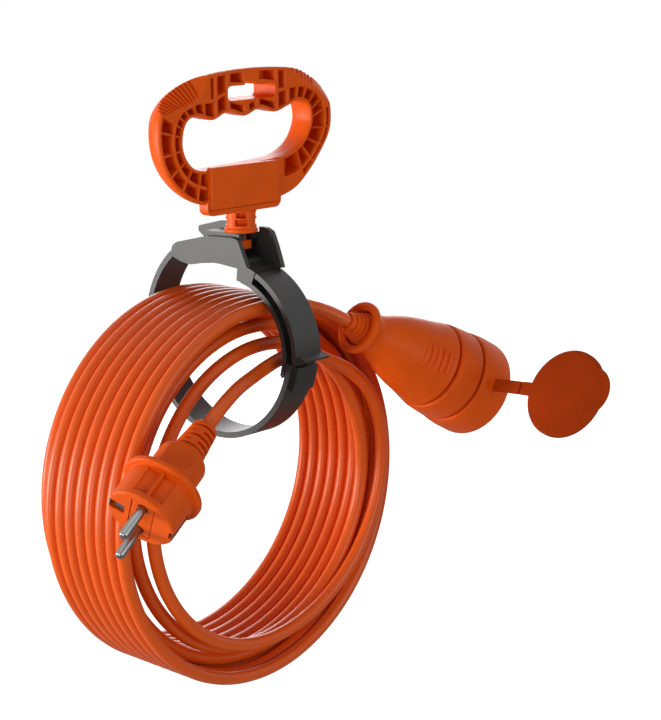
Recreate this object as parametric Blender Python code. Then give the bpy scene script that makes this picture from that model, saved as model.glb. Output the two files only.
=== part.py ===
"""Extension cord wound on a carrying clip with a swivel handle.

World frame: +Z up, origin in the centring notch of the handle's hang slot, X along the handle
and along the axis of the clip's ring, Y along the axis of the wound cord, -Y the near side.
All dimensions below are millimetres; meshes are made in metres.
"""
import math

import bmesh
import bpy
import numpy as np
from mathutils import Matrix, Vector

MM = 0.001
GAP = 0.3                       # clearance between neighbouring pieces

# ---- Ring of the clip: centre of the ring seen from the hang slot ----
RING_Y = 10.0
JAW_R_OUT = 55.0                # band of the ring
BAND_T = 3.3
JAW_R_IN = JAW_R_OUT - BAND_T
RING_SIZE = JAW_R_OUT / 55.0    # what lies on the ring grows with it
BAND_HALF_X = 9.6
PLATE_T = 2.8                   # side plates of the top block
PLATE_IN_X = BAND_HALF_X - PLATE_T
ARM_C = (-11.7 * RING_SIZE, -4.5 * RING_SIZE)       # centre of the flatter arcs
ARM_PROUD = 3.15                # the latch arm stands outside the band by this much
ARM_T = 3.0
ARM_ROOM = 3.85                 # free space between the latch arm and the inner finger
FINGER_T = 2.7
ARM_R_OUT = JAW_R_OUT + ARM_PROUD + ARM_C[0]
ARM_R_IN = ARM_R_OUT - ARM_T
FINGER_R_OUT = ARM_R_IN - ARM_ROOM
FINGER_R_IN = FINGER_R_OUT - FINGER_T
ARM_DEG = (113.0, 182.0)
FINGER_TIP_DEG = 197.0          # the finger's lower end, about the ring's centre
LIP_LEN = 5.75                  # thumb lip outside the latch arm
CATCH_DEEP = 0.5
TONGUE_ROOM = 0.45              # free space between the tongue's teeth and the catch
TONGUE_T = 2.0
HINGE_DEG = -10.0               # jaw hinge on the far side of the ring
HINGE_R = JAW_R_OUT - 0.6
HINGE_Y = HINGE_R * math.cos(math.radians(HINGE_DEG))
HINGE_Z = HINGE_R * math.sin(math.radians(HINGE_DEG))
KNUCKLE_R = 3.6
PIN_R = 1.4

# ---- Handle ----
HANDLE_HALF_Y = 8.0
WEB_Y = 2.0                     # floor of the front cells
HANDLE_FOOT = 66.8              # underside of the handle's shelf, below the slot
DECK_TOP = 56.6 * RING_SIZE     # deck that carries the neck's flange, above the ring's centre
DECK_T = 3.0
NECK_LEN = 12.0
RING_Z = -(HANDLE_FOOT + GAP + NECK_LEN + GAP + DECK_TOP)
NECK_FLANGE_R = 8.9
NECK_R = 8.2
STEM_R = 2.5
HEAD_HALF = (4.2, 3.6)

# ---- Cord ----
CORD_D = 7.2
CORD_R = CORD_D / 2
PITCH = 7.72                    # centre distance of neighbouring turns and layers
COIL_X = -4.0                   # centre of the coil from the ring's centre
COIL_Z = -81.5
COIL_NEAR_Y = -32.2
R_OUTER = 102.0
R_INNER = R_OUTER - PITCH
START_DEG = 88.0
OUTER_TURNS = 8.0
CLIMB_TURNS = 0.5
TOTAL_TURNS = 16.94
POINTS_PER_TURN = 24

# ---- Plug and socket, mouth point from the ring's centre and axis out of the mouth ----
PLUG_MOUTH = (-69.4, -53.5, -28.2)
PLUG_AXIS = (-0.842, -0.140, -0.522)
PLUG_PIN_DIR = (0.361, 0.574, -0.735)
PLUG_LEN = 63.5
PLUG_FRONT = 19.0               # length of the plug's front part, flange to face
PLUG_GRIP_R = 13.0
GUIDE_DEEP = 1.2                # depth of the guide panels in the front part's sides
PLUG_FACE_R = 18.2
PLUG_FLANGE_R = 21.3
PIN_PITCH = 19.0
PIN_D = 4.8
PIN_LEN = 18.5
SOCKET_MOUTH = (43.8, -45.5, 7.0)
SOCKET_AXIS = (0.8627, -0.1461, -0.4841)
STRAP_DIR = (-0.1113, -0.9887, 0.1)
SOCKET_LEN = 109.0
SOCKET_R = 28.0
GROOVES = (66.5, 84.5)          # grooves that part the grip, the collar and the front ring
GROOVE_W = 1.6
RECESS_R = 19.8
RECESS_DEPTH = 17.0
INSERT_R = 21.5
CAP_R = 24.8
CAP_T = 3.0
STRAP_LINK = 18.6
STRAP_ARM = 5.2
STRAP_OPEN_DEG = 2.0
STRAP_W = 7.2
STRAP_T = 2.2
STRAP_BACK = 14.6               # hinge of the strap behind the socket's front edge
STRAP_ROOM = 0.35               # free space at the strap's hinges
TAB_DEG = -12.0                 # thumb tab of the cap, from the strap's line
TAB_LEN = 3.6


for old in list(bpy.data.objects):
    bpy.data.objects.remove(old, do_unlink=True)


# ------------------------------------------------------------------ helpers
def material(name, rgb, rough=0.5, metallic=0.0):
    mat = bpy.data.materials.new(name)
    mat.use_nodes = True
    shader = mat.node_tree.nodes["Principled BSDF"]
    shader.inputs["Base Color"].default_value = (*rgb, 1.0)
    shader.inputs["Roughness"].default_value = rough
    shader.inputs["Metallic"].default_value = metallic
    mat.diffuse_color = (*rgb, 1.0)
    return mat


ORANGE = (0.62, 0.095, 0.012)
CORD_ORANGE = (0.72, 0.105, 0.012)
BLACK = (0.035, 0.034, 0.033)
METAL = (0.72, 0.72, 0.71)
BRASS = (0.68, 0.50, 0.22)


def make_object(name, verts, faces, colour=None, rough=0.5, metallic=0.0, smooth_deg=35.0):
    """Mesh object from millimetre vertices, normals outward."""
    mesh = bpy.data.meshes.new(name)
    mesh.from_pydata([tuple(c * MM for c in v) for v in verts], [], faces)
    mesh.validate()
    bm = bmesh.new()
    bm.from_mesh(mesh)
    bmesh.ops.recalc_face_normals(bm, faces=bm.faces)
    bm.to_mesh(mesh)
    bm.free()
    obj = bpy.data.objects.new(name, mesh)
    bpy.context.scene.collection.objects.link(obj)
    if colour is not None:
        obj.data.materials.append(material("m_" + name, colour, rough, metallic))
    mesh.polygons.foreach_set("use_smooth", [True] * len(mesh.polygons))
    mesh.set_sharp_from_angle(angle=math.radians(smooth_deg))
    return obj


def boolean(obj, cutter, operation):
    """Apply an exact boolean, worked in millimetres, and drop the second object."""
    for item in (obj, cutter):
        item.data.transform(Matrix.Scale(1 / MM, 4))
    mod = obj.modifiers.new("bool", 'BOOLEAN')
    mod.operation = operation
    mod.solver = 'EXACT'
    mod.object = cutter
    graph = bpy.context.evaluated_depsgraph_get()
    mesh = bpy.data.meshes.new_from_object(obj.evaluated_get(graph))
    mesh.transform(Matrix.Scale(MM, 4))
    obj.modifiers.clear()
    mesh.name = obj.data.name
    obj.data = mesh
    bpy.data.objects.remove(cutter, do_unlink=True)
    return obj


def cut(obj, cutter):
    return boolean(obj, cutter, 'DIFFERENCE')


def join(obj, other):
    return boolean(obj, other, 'UNION')


def frame(origin, axis, side):
    """Right-handed frame: local z along axis, local x along side made square to it."""
    z = Vector(axis).normalized()
    x = Vector(side)
    x = (x - z * x.dot(z)).normalized()
    y = z.cross(x)
    mat = Matrix((x, y, z)).transposed().to_4x4()
    mat.translation = Vector(origin)
    return mat


RING = Matrix.Translation((0.0, RING_Y, RING_Z))


def placed(mat, points):
    return [tuple(mat @ Vector(p)) for p in points]


def lathe(name, profile, mat, segments=48, **kw):
    """Solid of revolution from a closed (radius, height) profile; radius 0 makes a pole."""
    verts = []
    rings = []
    for r, z in profile:
        if r < 1e-6:
            rings.append([len(verts)] * segments)
            verts.append((0.0, 0.0, z))
        else:
            start = len(verts)
            for k in range(segments):
                a = 2 * math.pi * k / segments
                verts.append((r * math.cos(a), r * math.sin(a), z))
            rings.append(list(range(start, start + segments)))
    faces = []
    count = len(profile)
    for i in range(count):
        low = rings[i]
        high = rings[(i + 1) % count]
        if profile[i][0] < 1e-6 and profile[(i + 1) % count][0] < 1e-6:
            continue
        for k in range(segments):
            n = (k + 1) % segments
            quad = [low[k], low[n], high[n], high[k]]
            face = [v for j, v in enumerate(quad) if v not in quad[:j]]
            faces.append(face)
    return make_object(name, placed(mat, verts), faces, **kw)


def prism(name, outline, low, high, mat, **kw):
    """Extrude a (u, v) outline along w, with mat taking (w, u, v) to the world."""
    n = len(outline)
    verts = [(low, u, v) for u, v in outline] + [(high, u, v) for u, v in outline]
    faces = [list(range(n))[::-1], list(range(n, 2 * n))]
    faces += [[i, (i + 1) % n, n + (i + 1) % n, n + i] for i in range(n)]
    return make_object(name, placed(mat, verts), faces, **kw)


def box(name, low, high, mat, **kw):
    outline = [(low[1], low[2]), (high[1], low[2]), (high[1], high[2]), (low[1], high[2])]
    return prism(name, outline, low[0], high[0], mat, **kw)


def arc(radius, deg0, deg1, steps):
    """Points of an arc in the ring's (y, z) plane."""
    return [(radius * math.cos(math.radians(a)), radius * math.sin(math.radians(a)))
            for a in np.linspace(deg0, deg1, steps)]


def band_outline(r_in, r_out, deg0, deg1, steps):
    return arc(r_in, deg0, deg1, steps) + arc(r_out, deg1, deg0, steps)


def cylinder(name, radius, z0, z1, mat, segments=32, **kw):
    verts = []
    for z in (z0, z1):
        for k in range(segments):
            a = 2 * math.pi * k / segments
            verts.append((radius * math.cos(a), radius * math.sin(a), z))
    faces = [list(range(segments))[::-1], list(range(segments, 2 * segments))]
    faces += [[k, (k + 1) % segments, segments + (k + 1) % segments, segments + k]
              for k in range(segments)]
    return make_object(name, placed(mat, verts), faces, **kw)


def catmull(points, closed, per_span):
    """Smooth curve through the given points."""
    pts = [np.array(p, float) for p in points]
    n = len(pts)
    spans = n if closed else n - 1
    out = []
    for i in range(spans):
        if closed:
            a, b, c, d = (pts[(i + k) % n] for k in (-1, 0, 1, 2))
        else:
            b, c = pts[i], pts[i + 1]
            a = pts[i - 1] if i > 0 else 2 * b - c
            d = pts[i + 2] if i + 2 < n else 2 * c - b
        for t in np.linspace(0, 1, per_span, endpoint=False):
            out.append(0.5 * (2 * b + (c - a) * t + (2 * a - 5 * b + 4 * c - d) * t ** 2
                              + (3 * b - a - 3 * c + d) * t ** 3))
    if not closed:
        out.append(pts[-1])
    return out


def tube(name, points, radius, resolution, colour, rough):
    """Round tube with filled ends along world points in millimetres."""
    curve = bpy.data.curves.new(name, 'CURVE')
    curve.dimensions = '3D'
    curve.bevel_depth = radius * MM
    curve.bevel_resolution = resolution
    curve.use_fill_caps = True
    spline = curve.splines.new('POLY')
    spline.points.add(len(points) - 1)
    for point, co in zip(spline.points, points):
        point.co = (co[0] * MM, co[1] * MM, co[2] * MM, 1.0)
    helper = bpy.data.objects.new(name + "_path", curve)
    bpy.context.scene.collection.objects.link(helper)
    graph = bpy.context.evaluated_depsgraph_get()
    mesh = bpy.data.meshes.new_from_object(helper.evaluated_get(graph))
    bpy.data.objects.remove(helper, do_unlink=True)
    mesh.name = name
    mesh.materials.clear()
    mesh.materials.append(material("m_" + name, colour, rough))
    bm = bmesh.new()
    bm.from_mesh(mesh)
    bmesh.ops.remove_doubles(bm, verts=bm.verts, dist=1e-7)
    bmesh.ops.recalc_face_normals(bm, faces=bm.faces)
    bm.to_mesh(mesh)
    bm.free()
    obj = bpy.data.objects.new(name, mesh)
    bpy.context.scene.collection.objects.link(obj)
    mesh.polygons.foreach_set("use_smooth", [True] * len(mesh.polygons))
    mesh.set_sharp_from_angle(angle=math.radians(62))
    return obj


def empty(name, at, mat=None):
    obj = bpy.data.objects.new(name, None)
    obj.empty_display_size = 0.01
    obj.location = tuple(c * MM for c in (mat @ Vector(at) if mat else at))
    bpy.context.scene.collection.objects.link(obj)
    return obj


def parent(children, holder):
    bpy.context.view_layer.update()
    for child in children:
        child.parent = holder
        child.matrix_parent_inverse = holder.matrix_world.inverted()


# ------------------------------------------------------------------ handle
OUTER_KEYS = [(62.5, -22.0), (60.5, -12.0), (53.0, -2.5), (38.0, 4.2), (14.0, 6.6), (-14.0, 6.2),
              (-36.0, 3.4), (-52.0, -2.5), (-61.5, -11.0), (-64.5, -22.0), (-63.0, -35.0),
              (-57.0, -46.5), (-47.0, -55.5), (-34.0, -61.0), (-15.0, -63.5), (12.0, -63.5),
              (32.0, -59.5), (45.5, -50.0), (55.5, -39.0), (61.0, -30.5)]
INNER_KEYS = [(46.0, -22.0), (43.5, -14.5), (36.0, -12.0), (28.0, -14.6), (18.5, -17.0),
              (7.5, -14.2), (-4.0, -17.6), (-15.5, -14.6), (-27.0, -18.2), (-37.0, -15.6),
              (-44.5, -17.5), (-48.0, -24.5), (-47.5, -33.0), (-42.0, -40.5), (-33.0, -43.4),
              (-15.0, -43.0), (12.0, -41.8), (28.0, -40.0), (38.5, -35.0), (44.0, -28.5)]
STATIONS_PER_KEY = 5


SPINE = ((-33.0, -29.0), (31.0, -28.0))     # middle line of the hand opening


def loop_points():
    """Outer loop and, straight across the bar from each of its points, the inner loop."""
    outer = catmull(OUTER_KEYS, True, STATIONS_PER_KEY)
    fine = np.array(catmull(INNER_KEYS, True, 12))
    a, b = (np.array(p) for p in SPINE)
    step = np.roll(fine, -1, axis=0) - fine
    inner = []
    for p in outer:
        t = min(max((p - a) @ (b - a) / ((b - a) @ (b - a)), 0.0), 1.0)
        base = a + (b - a) * t
        ray = p - base
        cross = ray[0] * step[:, 1] - ray[1] * step[:, 0]
        rel = fine - base
        along = (rel[:, 0] * step[:, 1] - rel[:, 1] * step[:, 0]) / cross
        share = (rel[:, 0] * ray[1] - rel[:, 1] * ray[0]) / cross
        hit = (share >= 0) & (share <= 1) & (along > 0)
        inner.append(base + ray * along[hit].min())
    return outer, inner


RIM = 0.11                      # shares of the bar's width: rim, cell rows, middle wall, rim
WALL_KEYS = ((0, 0.28), (6, 0.32), (12, 0.46), (18, 0.56), (26, 0.56), (30, 0.62), (41, 0.64),
             (50, 0.60), (60, 0.52), (66, 0.50), (78, 0.30), (90, 0.26), (100, 0.28))
CELLS = [(6.4, 9.4), (9.4, 12.5), (12.5, 15.0), (15.0, 17.2), (17.2, 18.9), (18.9, 21.6),
         (21.6, 22.9), (22.9, 25.4), (25.4, 27.3), (27.3, 29.4), (29.4, 32.4), (32.4, 35.4),
         (35.4, 38.3), (38.3, 41.2), (41.2, 44.8), (44.8, 49.8), (49.8, 54.5), (54.5, 58.7),
         (58.7, 63.3), (79.0, 83.0), (83.0, 86.5), (86.5, 90.6), (90.6, 96.8), (96.8, 103.1),
         (103.1, 106.4)]
SLOT_CELLS = (18.8, 25.0)       # stations of the cells beside the hang slot
LENSES = ((3.0, 17.0), (29.0, 41.0))    # stations with no outer cells
RIB = 0.16                      # half a rib, in stations


def loop_at(loop, s):
    n = len(loop)
    i = int(math.floor(s)) % n
    w = s - math.floor(s)
    return loop[i] * (1 - w) + loop[(i + 1) % n] * w


def columns_at(s):
    """Shares of the bar's width where the front changes level, about the middle wall."""
    wall = float(np.interp(s, *zip(*WALL_KEYS)))
    return (0.0, RIM, (RIM + wall - 0.025) / 2, wall - 0.025, wall + 0.025,
            (wall + 0.945) / 2, 0.92, 1.0)


def cell_columns(start):
    """Deep columns of a cell; the ones beside the hang slot stay shallow rows."""
    if SLOT_CELLS[0] < start < SLOT_CELLS[1]:
        return (5,) if 21 < start < 22.5 else (1, 5)
    if any(low < start % 100 < high for low, high in LENSES):
        return (4, 5)
    return (1, 2, 4, 5)


def handle_frame():
    outer, inner = loop_points()
    half = HANDLE_HALF_Y
    loop = len(outer)
    ends = sorted(v % loop for i0, i1 in CELLS for v in (i0 + RIB, i1 - RIB))
    fill = [(i0 + i1) / 2 % loop for i0, i1 in CELLS] + [float(i) for i in range(0, loop, 2)]
    fill = [m for k, m in enumerate(sorted(fill)) if min(abs(m - e) for e in ends) > 0.8]
    fill = [m for k, m in enumerate(fill) if k == 0 or m - fill[k - 1] > 0.75]
    stations = sorted(ends + fill)
    n = len(stations)
    cols = len(columns_at(0)) - 1
    deep = [[False] * cols for _ in range(n)]
    for i0, i1 in CELLS:
        for i, s in enumerate(stations):
            if any(i0 + RIB - 0.01 <= v < i1 - RIB - 0.01 for v in (s, s + loop)):
                for c in cell_columns(i0):
                    deep[i][c] = True
    # section behind the front face: (depth, inset in mm, side), outer edge first
    section = [(-half + 0.9, 0.0, 0), (-4.6, 0.0, 0), (-0.6, 1.0, 0), (3.4, 3.3, 0),
               (6.2, 6.2, 0), (half, 9.0, 0), (half, 3.2, 1), (5.2, 0.4, 1),
               (-half + 0.9, 0.0, 1)]
    verts = []
    front = []
    web = []
    round_ = []
    for s in stations:
        p = loop_at(outer, s)
        q = loop_at(inner, s)
        width = np.linalg.norm(q - p)
        across = (q - p) / width
        row_f = []
        row_w = []
        for c, share in enumerate(columns_at(s)):
            at = share * width
            if c == 0:
                at = 0.9
            if c == cols:
                at = width - 0.9
            base = p + across * at
            row_f.append(len(verts))
            verts.append((base[0], -half, base[1]))
            row_w.append(len(verts))
            verts.append((base[0], WEB_Y, base[1]))
        rest = []
        for depth, inset, side in section:
            base = p + across * inset if side == 0 else q - across * inset
            rest.append(len(verts))
            verts.append((base[0], depth, base[1]))
        front.append(row_f)
        web.append(row_w)
        round_.append(rest)
    faces = []
    for i in range(n):
        k = (i + 1) % n
        for c in range(cols):
            level = web if deep[i][c] else front
            faces.append([level[i][c], level[k][c], level[k][c + 1], level[i][c + 1]])
            if deep[i][c] != deep[i - 1][c]:
                faces.append([front[i][c], front[i][c + 1], web[i][c + 1], web[i][c]])
            if c and deep[i][c] != deep[i][c - 1]:
                faces.append([front[i][c], front[k][c], web[k][c], web[i][c]])
        ring_a = [front[i][0]] + round_[i] + [front[i][cols]]
        ring_b = [front[k][0]] + round_[k] + [front[k][cols]]
        for c in range(len(ring_a) - 1):
            faces.append([ring_a[c], ring_b[c], ring_b[c + 1], ring_a[c + 1]])
    used = sorted({v for face in faces for v in face})
    index = {v: j for j, v in enumerate(used)}
    body = make_object("handle_frame", [verts[v] for v in used],
                       [[index[v] for v in face] for face in faces], colour=ORANGE, rough=0.5)
    to_xz = Matrix(((0, 1, 0, 0), (1, 0, 0, 0), (0, 0, 1, 0), (0, 0, 0, 1)))

    # shelf under the plate and the seat for the neck
    x0, x1 = PLATE_X
    foot = -HANDLE_FOOT
    shelf = [(x0 - 2.0, foot + 2.3), (x0 + 0.5, foot), (x1 - 0.5, foot), (x1 + 2.0, foot + 2.3),
             (x1 + 2.0, foot + 8.8), (x0 - 2.0, foot + 8.8)]
    join(body, prism("shelf", shelf, -half - 1.6, half - 3.0, to_xz))

    # hang slot with its centring notch
    x0, x1 = SLOT_X
    z0, z1 = SLOT_Z
    slot = [(x0, z0 + 1.2), (x0 + 1.6, z0), (x1 - 1.6, z0), (x1, z0 + 1.2), (x1, z1 - 1.2),
            (x1 - 1.6, z1), (NOTCH + 1.0, z1), (NOTCH, 0.0), (-NOTCH, 0.0), (-NOTCH - 1.0, z1),
            (x0 + 1.6, z1), (x0, z1 - 1.2)]
    cut(body, prism("slot", slot, -20, 20, to_xz))

    return body


PLATE_X = (-31.5, 18.6)
PLATE_Z = (-63.8, -42.0)
SLOT_X = (-16.5, 18.0)
SLOT_Z = (-9.2, -1.8)
NOTCH = 3.4


def name_plate(body):
    """Plain plate let into the front of the lower bar."""
    to_xz = Matrix(((0, 1, 0, 0), (1, 0, 0, 0), (0, 0, 1, 0), (0, 0, 0, 1)))
    x0, x1 = PLATE_X
    z0, z1 = PLATE_Z
    front = -HANDLE_HALF_Y - 2.6
    pocket = [(x0 - GAP, z0 - GAP), (x1 + GAP, z0 - GAP), (x1 + GAP, 0.0), (x0 - GAP, 0.0)]
    pocket = [(x, z if z < -1 else z1 + 9.0) for x, z in pocket]
    cut(body, prism("pocket", pocket, -20, -HANDLE_HALF_Y + 1.5, to_xz))
    c = 1.0
    plate = [(x0 + c, z0), (x1 - c, z0), (x1, z0 + c), (x1, z1 - c), (x1 - c, z1), (x0 + c, z1),
             (x0, z1 - c), (x0, z0 + c)]
    return prism("name_plate", plate, front, -HANDLE_HALF_Y + 1.5 - GAP, to_xz, colour=ORANGE,
                 rough=0.45)


def swivel_stem():
    """Neck with windows, flange, thin stem and T head under the clip's deck."""
    z_top = -HANDLE_FOOT - GAP
    z_fl = RING_Z + DECK_TOP + GAP
    z_head = RING_Z + DECK_TOP - DECK_T - 1.0
    up = Matrix.Identity(4)
    stem = lathe("swivel_stem", [(0, z_head - 1.0), (STEM_R, z_head - 1.0), (STEM_R, z_fl),
                                 (NECK_FLANGE_R - 0.5, z_fl), (NECK_FLANGE_R, z_fl + 0.5),
                                 (NECK_FLANGE_R, z_fl + 2.0), (NECK_FLANGE_R - 0.4, z_fl + 2.4),
                                 (NECK_R, z_fl + 2.4), (NECK_R, z_top), (0, z_top)],
                 up, 28, colour=ORANGE, rough=0.5)
    hx, hy = HEAD_HALF
    join(stem, box("head", (-hx, -hy, z_head - 4.6), (hx, hy, z_head), up))
    for k in range(4):
        turn = Matrix.Rotation(math.radians(45 + 90 * k), 4, 'Z')
        low = z_fl + 4.0
        mid = (low + z_top) / 2 - 0.4
        cut(stem, box("window", (4.4, -3.2, low), (20, 3.2, mid - 0.5), turn))
        cut(stem, box("window", (4.4, -2.6, mid + 0.5), (20, 2.6, z_top - 1.2), turn))
    return stem


# ------------------------------------------------------------------ clip
def arm_arc(radius, deg0, deg1, steps):
    """Arc about the centre of the near side's flatter curves."""
    return [(ARM_C[0] + y, ARM_C[1] + z) for y, z in arc(radius, deg0, deg1, steps)]


HINGE_FRAME = frame((0.0, RING_Y + HINGE_Y, RING_Z + HINGE_Z), (1, 0, 0), (0, 1, 0))
BORE_FRAME = HINGE_FRAME @ Matrix.Rotation(0.11, 4, 'Z')


def on_ring(points):
    """Outline points of the ring drawn at its true size, grown with the ring."""
    return [(y * RING_SIZE, z * RING_SIZE) for y, z in points]


def clip_body():
    """Top block with side plates, inner finger and the fixed far side of the ring."""
    x = BAND_HALF_X
    xi = PLATE_IN_X
    deck_low = DECK_TOP - DECK_T
    under = [(-24.5, 37.8), (-11.8, 39.4), (1.6, 40.0), (19.2, 37.0), (32.4, 39.7)]
    front = under + [(33.8, 43.3), (33.0, 46.0), (29.8, 48.2), (6.6, 53.9), (-12.0, 54.9),
                     (-16.4, 54.3)]
    back = [(-33.0, 39.2)] + under + [(33.8, 43.3), (29.5, 47.4), (25.0, 49.6), (29.6, 52.6),
                                      (29.2, 55.4), (11.6, 60.0), (-21.0, 59.4), (-25.4, 57.6),
                                      (-28.6, 51.0)]
    body = prism("clip_body", on_ring(front), -x, -xi, RING, colour=BLACK, rough=0.55)
    join(body, prism("back", on_ring(back), xi, x, RING))
    join(body, box("deck", (-xi - 0.5, -15.6, deck_low), (xi + 0.5, 8.0, DECK_TOP), RING))
    join(body, box("web", (-xi - 0.5, -19.0 * RING_SIZE, 41.2 * RING_SIZE),
                   (xi + 0.5, 14.0 * RING_SIZE, 43.6 * RING_SIZE), RING))
    root = arm_arc(FINGER_R_IN + 0.4, 96.0, ARM_DEG[0] - 0.8, 4) \
        + arm_arc(ARM_R_OUT, ARM_DEG[0] - 0.8, 96.0, 4)
    join(body, prism("root", root, -x, x, RING))
    bend = 176.0
    tip = FINGER_TIP_DEG
    finger = arm_arc(FINGER_R_IN, 101.0, bend, 14) \
        + arc(JAW_R_IN - GAP - FINGER_T, 183.5, tip, 4) \
        + arc(JAW_R_IN - GAP - 0.1, tip, 183.5, 4) + arm_arc(FINGER_R_OUT, bend, 101.0, 14)
    join(body, prism("finger", finger, -x, x, RING))
    cut(body, box("stem_slot", (-STEM_R - GAP, -40.0, deck_low - 3.0),
                  (STEM_R + GAP, -RING_Y + STEM_R + GAP, DECK_TOP + 2.0), RING))
    cut(body, box("flange_room", (-20.0, -16.6, DECK_TOP), (20.0, -3.4, DECK_TOP + 9.0), RING))
    far_arm = prism("far_arm", band_outline(JAW_R_IN, JAW_R_OUT, 55.0, HINGE_DEG, 15),
                    -x + 0.1, x - 0.1, RING)
    join(far_arm, cylinder("knuckle", KNUCKLE_R, -x - 0.2, x + 0.2, HINGE_FRAME, 24))
    cut(far_arm, cylinder("bore", PIN_R + 0.4, -30, 30, BORE_FRAME, 20))
    cut(far_arm, box("knuckle_room", (-xi, HINGE_Y - 7.0, HINGE_Z - 8.0),
                     (xi, HINGE_Y + 7.0, HINGE_Z + KNUCKLE_R + 0.5), RING))
    join(body, far_arm)
    return body


def latch_arm():
    """Springy outer band with the thumb lip and a catch that reaches over the tongue's teeth."""
    x = BAND_HALF_X
    arm = prism("latch_arm", arm_arc(ARM_R_IN, *ARM_DEG, 16) + arm_arc(ARM_R_OUT, *ARM_DEG[::-1], 16),
                -x, x, RING, colour=BLACK, rough=0.55)
    end = ARM_C[0] - ARM_R_OUT - LIP_LEN
    lip = arm_arc(ARM_R_OUT - 1.0, 176.5, 182.0, 4) + [(end + 0.3, ARM_C[1] - 0.3),
                                                       (end, ARM_C[1] + 0.9)]
    join(arm, prism("lip", lip, -x + 1.5, x, RING))
    catch = arm_arc(ARM_R_IN - CATCH_DEEP, 178.4, 180.6, 3) + arm_arc(ARM_R_IN + 0.8, 180.6, 177.4, 3)
    join(arm, prism("catch", catch, -5.0, 5.0, RING))
    return arm


def clip_jaw():
    """Lower band with hinge knuckle, latch block and toothed tongue."""
    x = BAND_HALF_X
    start = HINGE_DEG - 4.6
    jaw = prism("clip_jaw", band_outline(JAW_R_IN, JAW_R_OUT, start, -172.5, 44), -x, x, RING,
                colour=BLACK, rough=0.55)
    inner = PLATE_IN_X - GAP
    neck = band_outline(JAW_R_IN + 0.2, JAW_R_OUT - 0.2, HINGE_DEG, start - 1.4, 3)
    join(jaw, prism("neck", neck, -inner + 0.3, inner - 0.3, RING))
    join(jaw, cylinder("knuckle", KNUCKLE_R, -inner, inner, HINGE_FRAME, 24))
    cut(jaw, cylinder("bore", PIN_R + 0.4, -30, 30, BORE_FRAME, 20))
    block = band_outline(JAW_R_OUT - 1.4, JAW_R_OUT + 2.9, -171.3, -157.4, 5)
    join(jaw, prism("block", block, -x + 2.6, x - 1.4, RING))
    # toothed tongue from the band's end up behind the catch
    outer = ARM_C[0] - ARM_R_IN + CATCH_DEEP + TONGUE_ROOM
    root = -9.6 * RING_SIZE
    teeth = [(-math.sqrt((JAW_R_OUT - 0.35) ** 2 - root ** 2), root)]
    for k in range(5):
        z = -5.0 + 2.2 * k
        y = outer + 0.5 + 0.011 * (z + 1.0) ** 2 - 0.03 * k
        teeth += [(y, z), (y + 0.5, z + 0.3)]
    inner = outer + 0.5 + TONGUE_T
    tongue = [(-math.sqrt((JAW_R_IN + 1.3) ** 2 - root ** 2), root)] + teeth \
        + [(inner - 0.9, 6.6), (inner + 0.1, 6.9), (inner + 0.3, 5.6), (inner - 0.3, -3.0)]
    join(jaw, prism("tongue", tongue, -6.0, 6.0, RING))
    return jaw


def hinge_pin():
    x = BAND_HALF_X + 0.2
    return lathe("jaw_hinge_pin", [(0, -x), (PIN_R - 0.2, -x), (PIN_R, -x + 0.2), (PIN_R, x),
                                   (PIN_R + 1.0, x + GAP), (PIN_R + 1.0, x + 1.0),
                                   (PIN_R + 0.6, x + 1.3), (0, x + 1.3)],
                 HINGE_FRAME, 24, colour=METAL, rough=0.3, metallic=1.0)


# ------------------------------------------------------------------ cord
def coil_radius(turn):
    """Radius of the winding: outer layer, climb, inner layer, slack last turn."""
    climb_end = OUTER_TURNS + CLIMB_TURNS
    if turn <= OUTER_TURNS:
        return R_OUTER
    if turn <= climb_end:
        t = (turn - OUTER_TURNS) / CLIMB_TURNS
        return R_OUTER - PITCH * t * t * (3 - 2 * t)
    keys = [(14.5, R_INNER), (15.2, 88.0), (16.07, 80.5), (16.52, 83.0), (16.8, 91.5),
            (TOTAL_TURNS, 78.5)]
    if turn <= keys[0][0]:
        return R_INNER
    for (t0, r0), (t1, r1) in zip(keys, keys[1:]):
        if turn <= t1:
            t = (turn - t0) / (t1 - t0)
            return r0 + (r1 - r0) * t * t * (3 - 2 * t)
    return keys[-1][1]


def coil_y(turn):
    far = COIL_NEAR_Y + OUTER_TURNS * PITCH
    if turn <= OUTER_TURNS:
        return COIL_NEAR_Y + turn * PITCH
    t = (turn - OUTER_TURNS) / CLIMB_TURNS
    if t <= 1:
        return far + 1.6 * math.sin(math.pi * t) + 0.4 * t
    return max(far + 0.4 - (turn - OUTER_TURNS - CLIMB_TURNS) * PITCH, -35.4)


def coil_point(turn):
    a = math.radians(START_DEG + 360.0 * turn)
    r = coil_radius(turn)
    return np.array([COIL_X + r * math.cos(a), coil_y(turn) + RING_Y,
                     COIL_Z + RING_Z + r * math.sin(a)])


def coil_points():
    steps = int(TOTAL_TURNS * POINTS_PER_TURN)
    pts = [coil_point(i / POINTS_PER_TURN) for i in range(steps + 1)]
    start = pts[0] - pts[1]
    end = pts[-1] - pts[-2]
    start /= np.linalg.norm(start)
    end /= np.linalg.norm(end)
    pts.insert(0, pts[0] + start * CORD_D)
    pts.append(pts[-1] + end * CORD_D)
    return pts


def least_self_gap(points):
    """Least free distance between turns, measured on points along the tube."""
    fine = []
    for a, b in zip(points, points[1:]):
        fine += [a + (b - a) * t for t in np.linspace(0, 1, 4, endpoint=False)]
    fine = np.array(fine)
    length = np.concatenate([[0], np.cumsum(np.linalg.norm(np.diff(fine, axis=0), axis=1))])
    least = 1e9
    for i in range(len(fine)):
        far = np.abs(length - length[i]) > 6 * CORD_D
        if far.any():
            least = min(least, np.linalg.norm(fine[far] - fine[i], axis=1).min())
    return least - CORD_D, length[-1]


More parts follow.
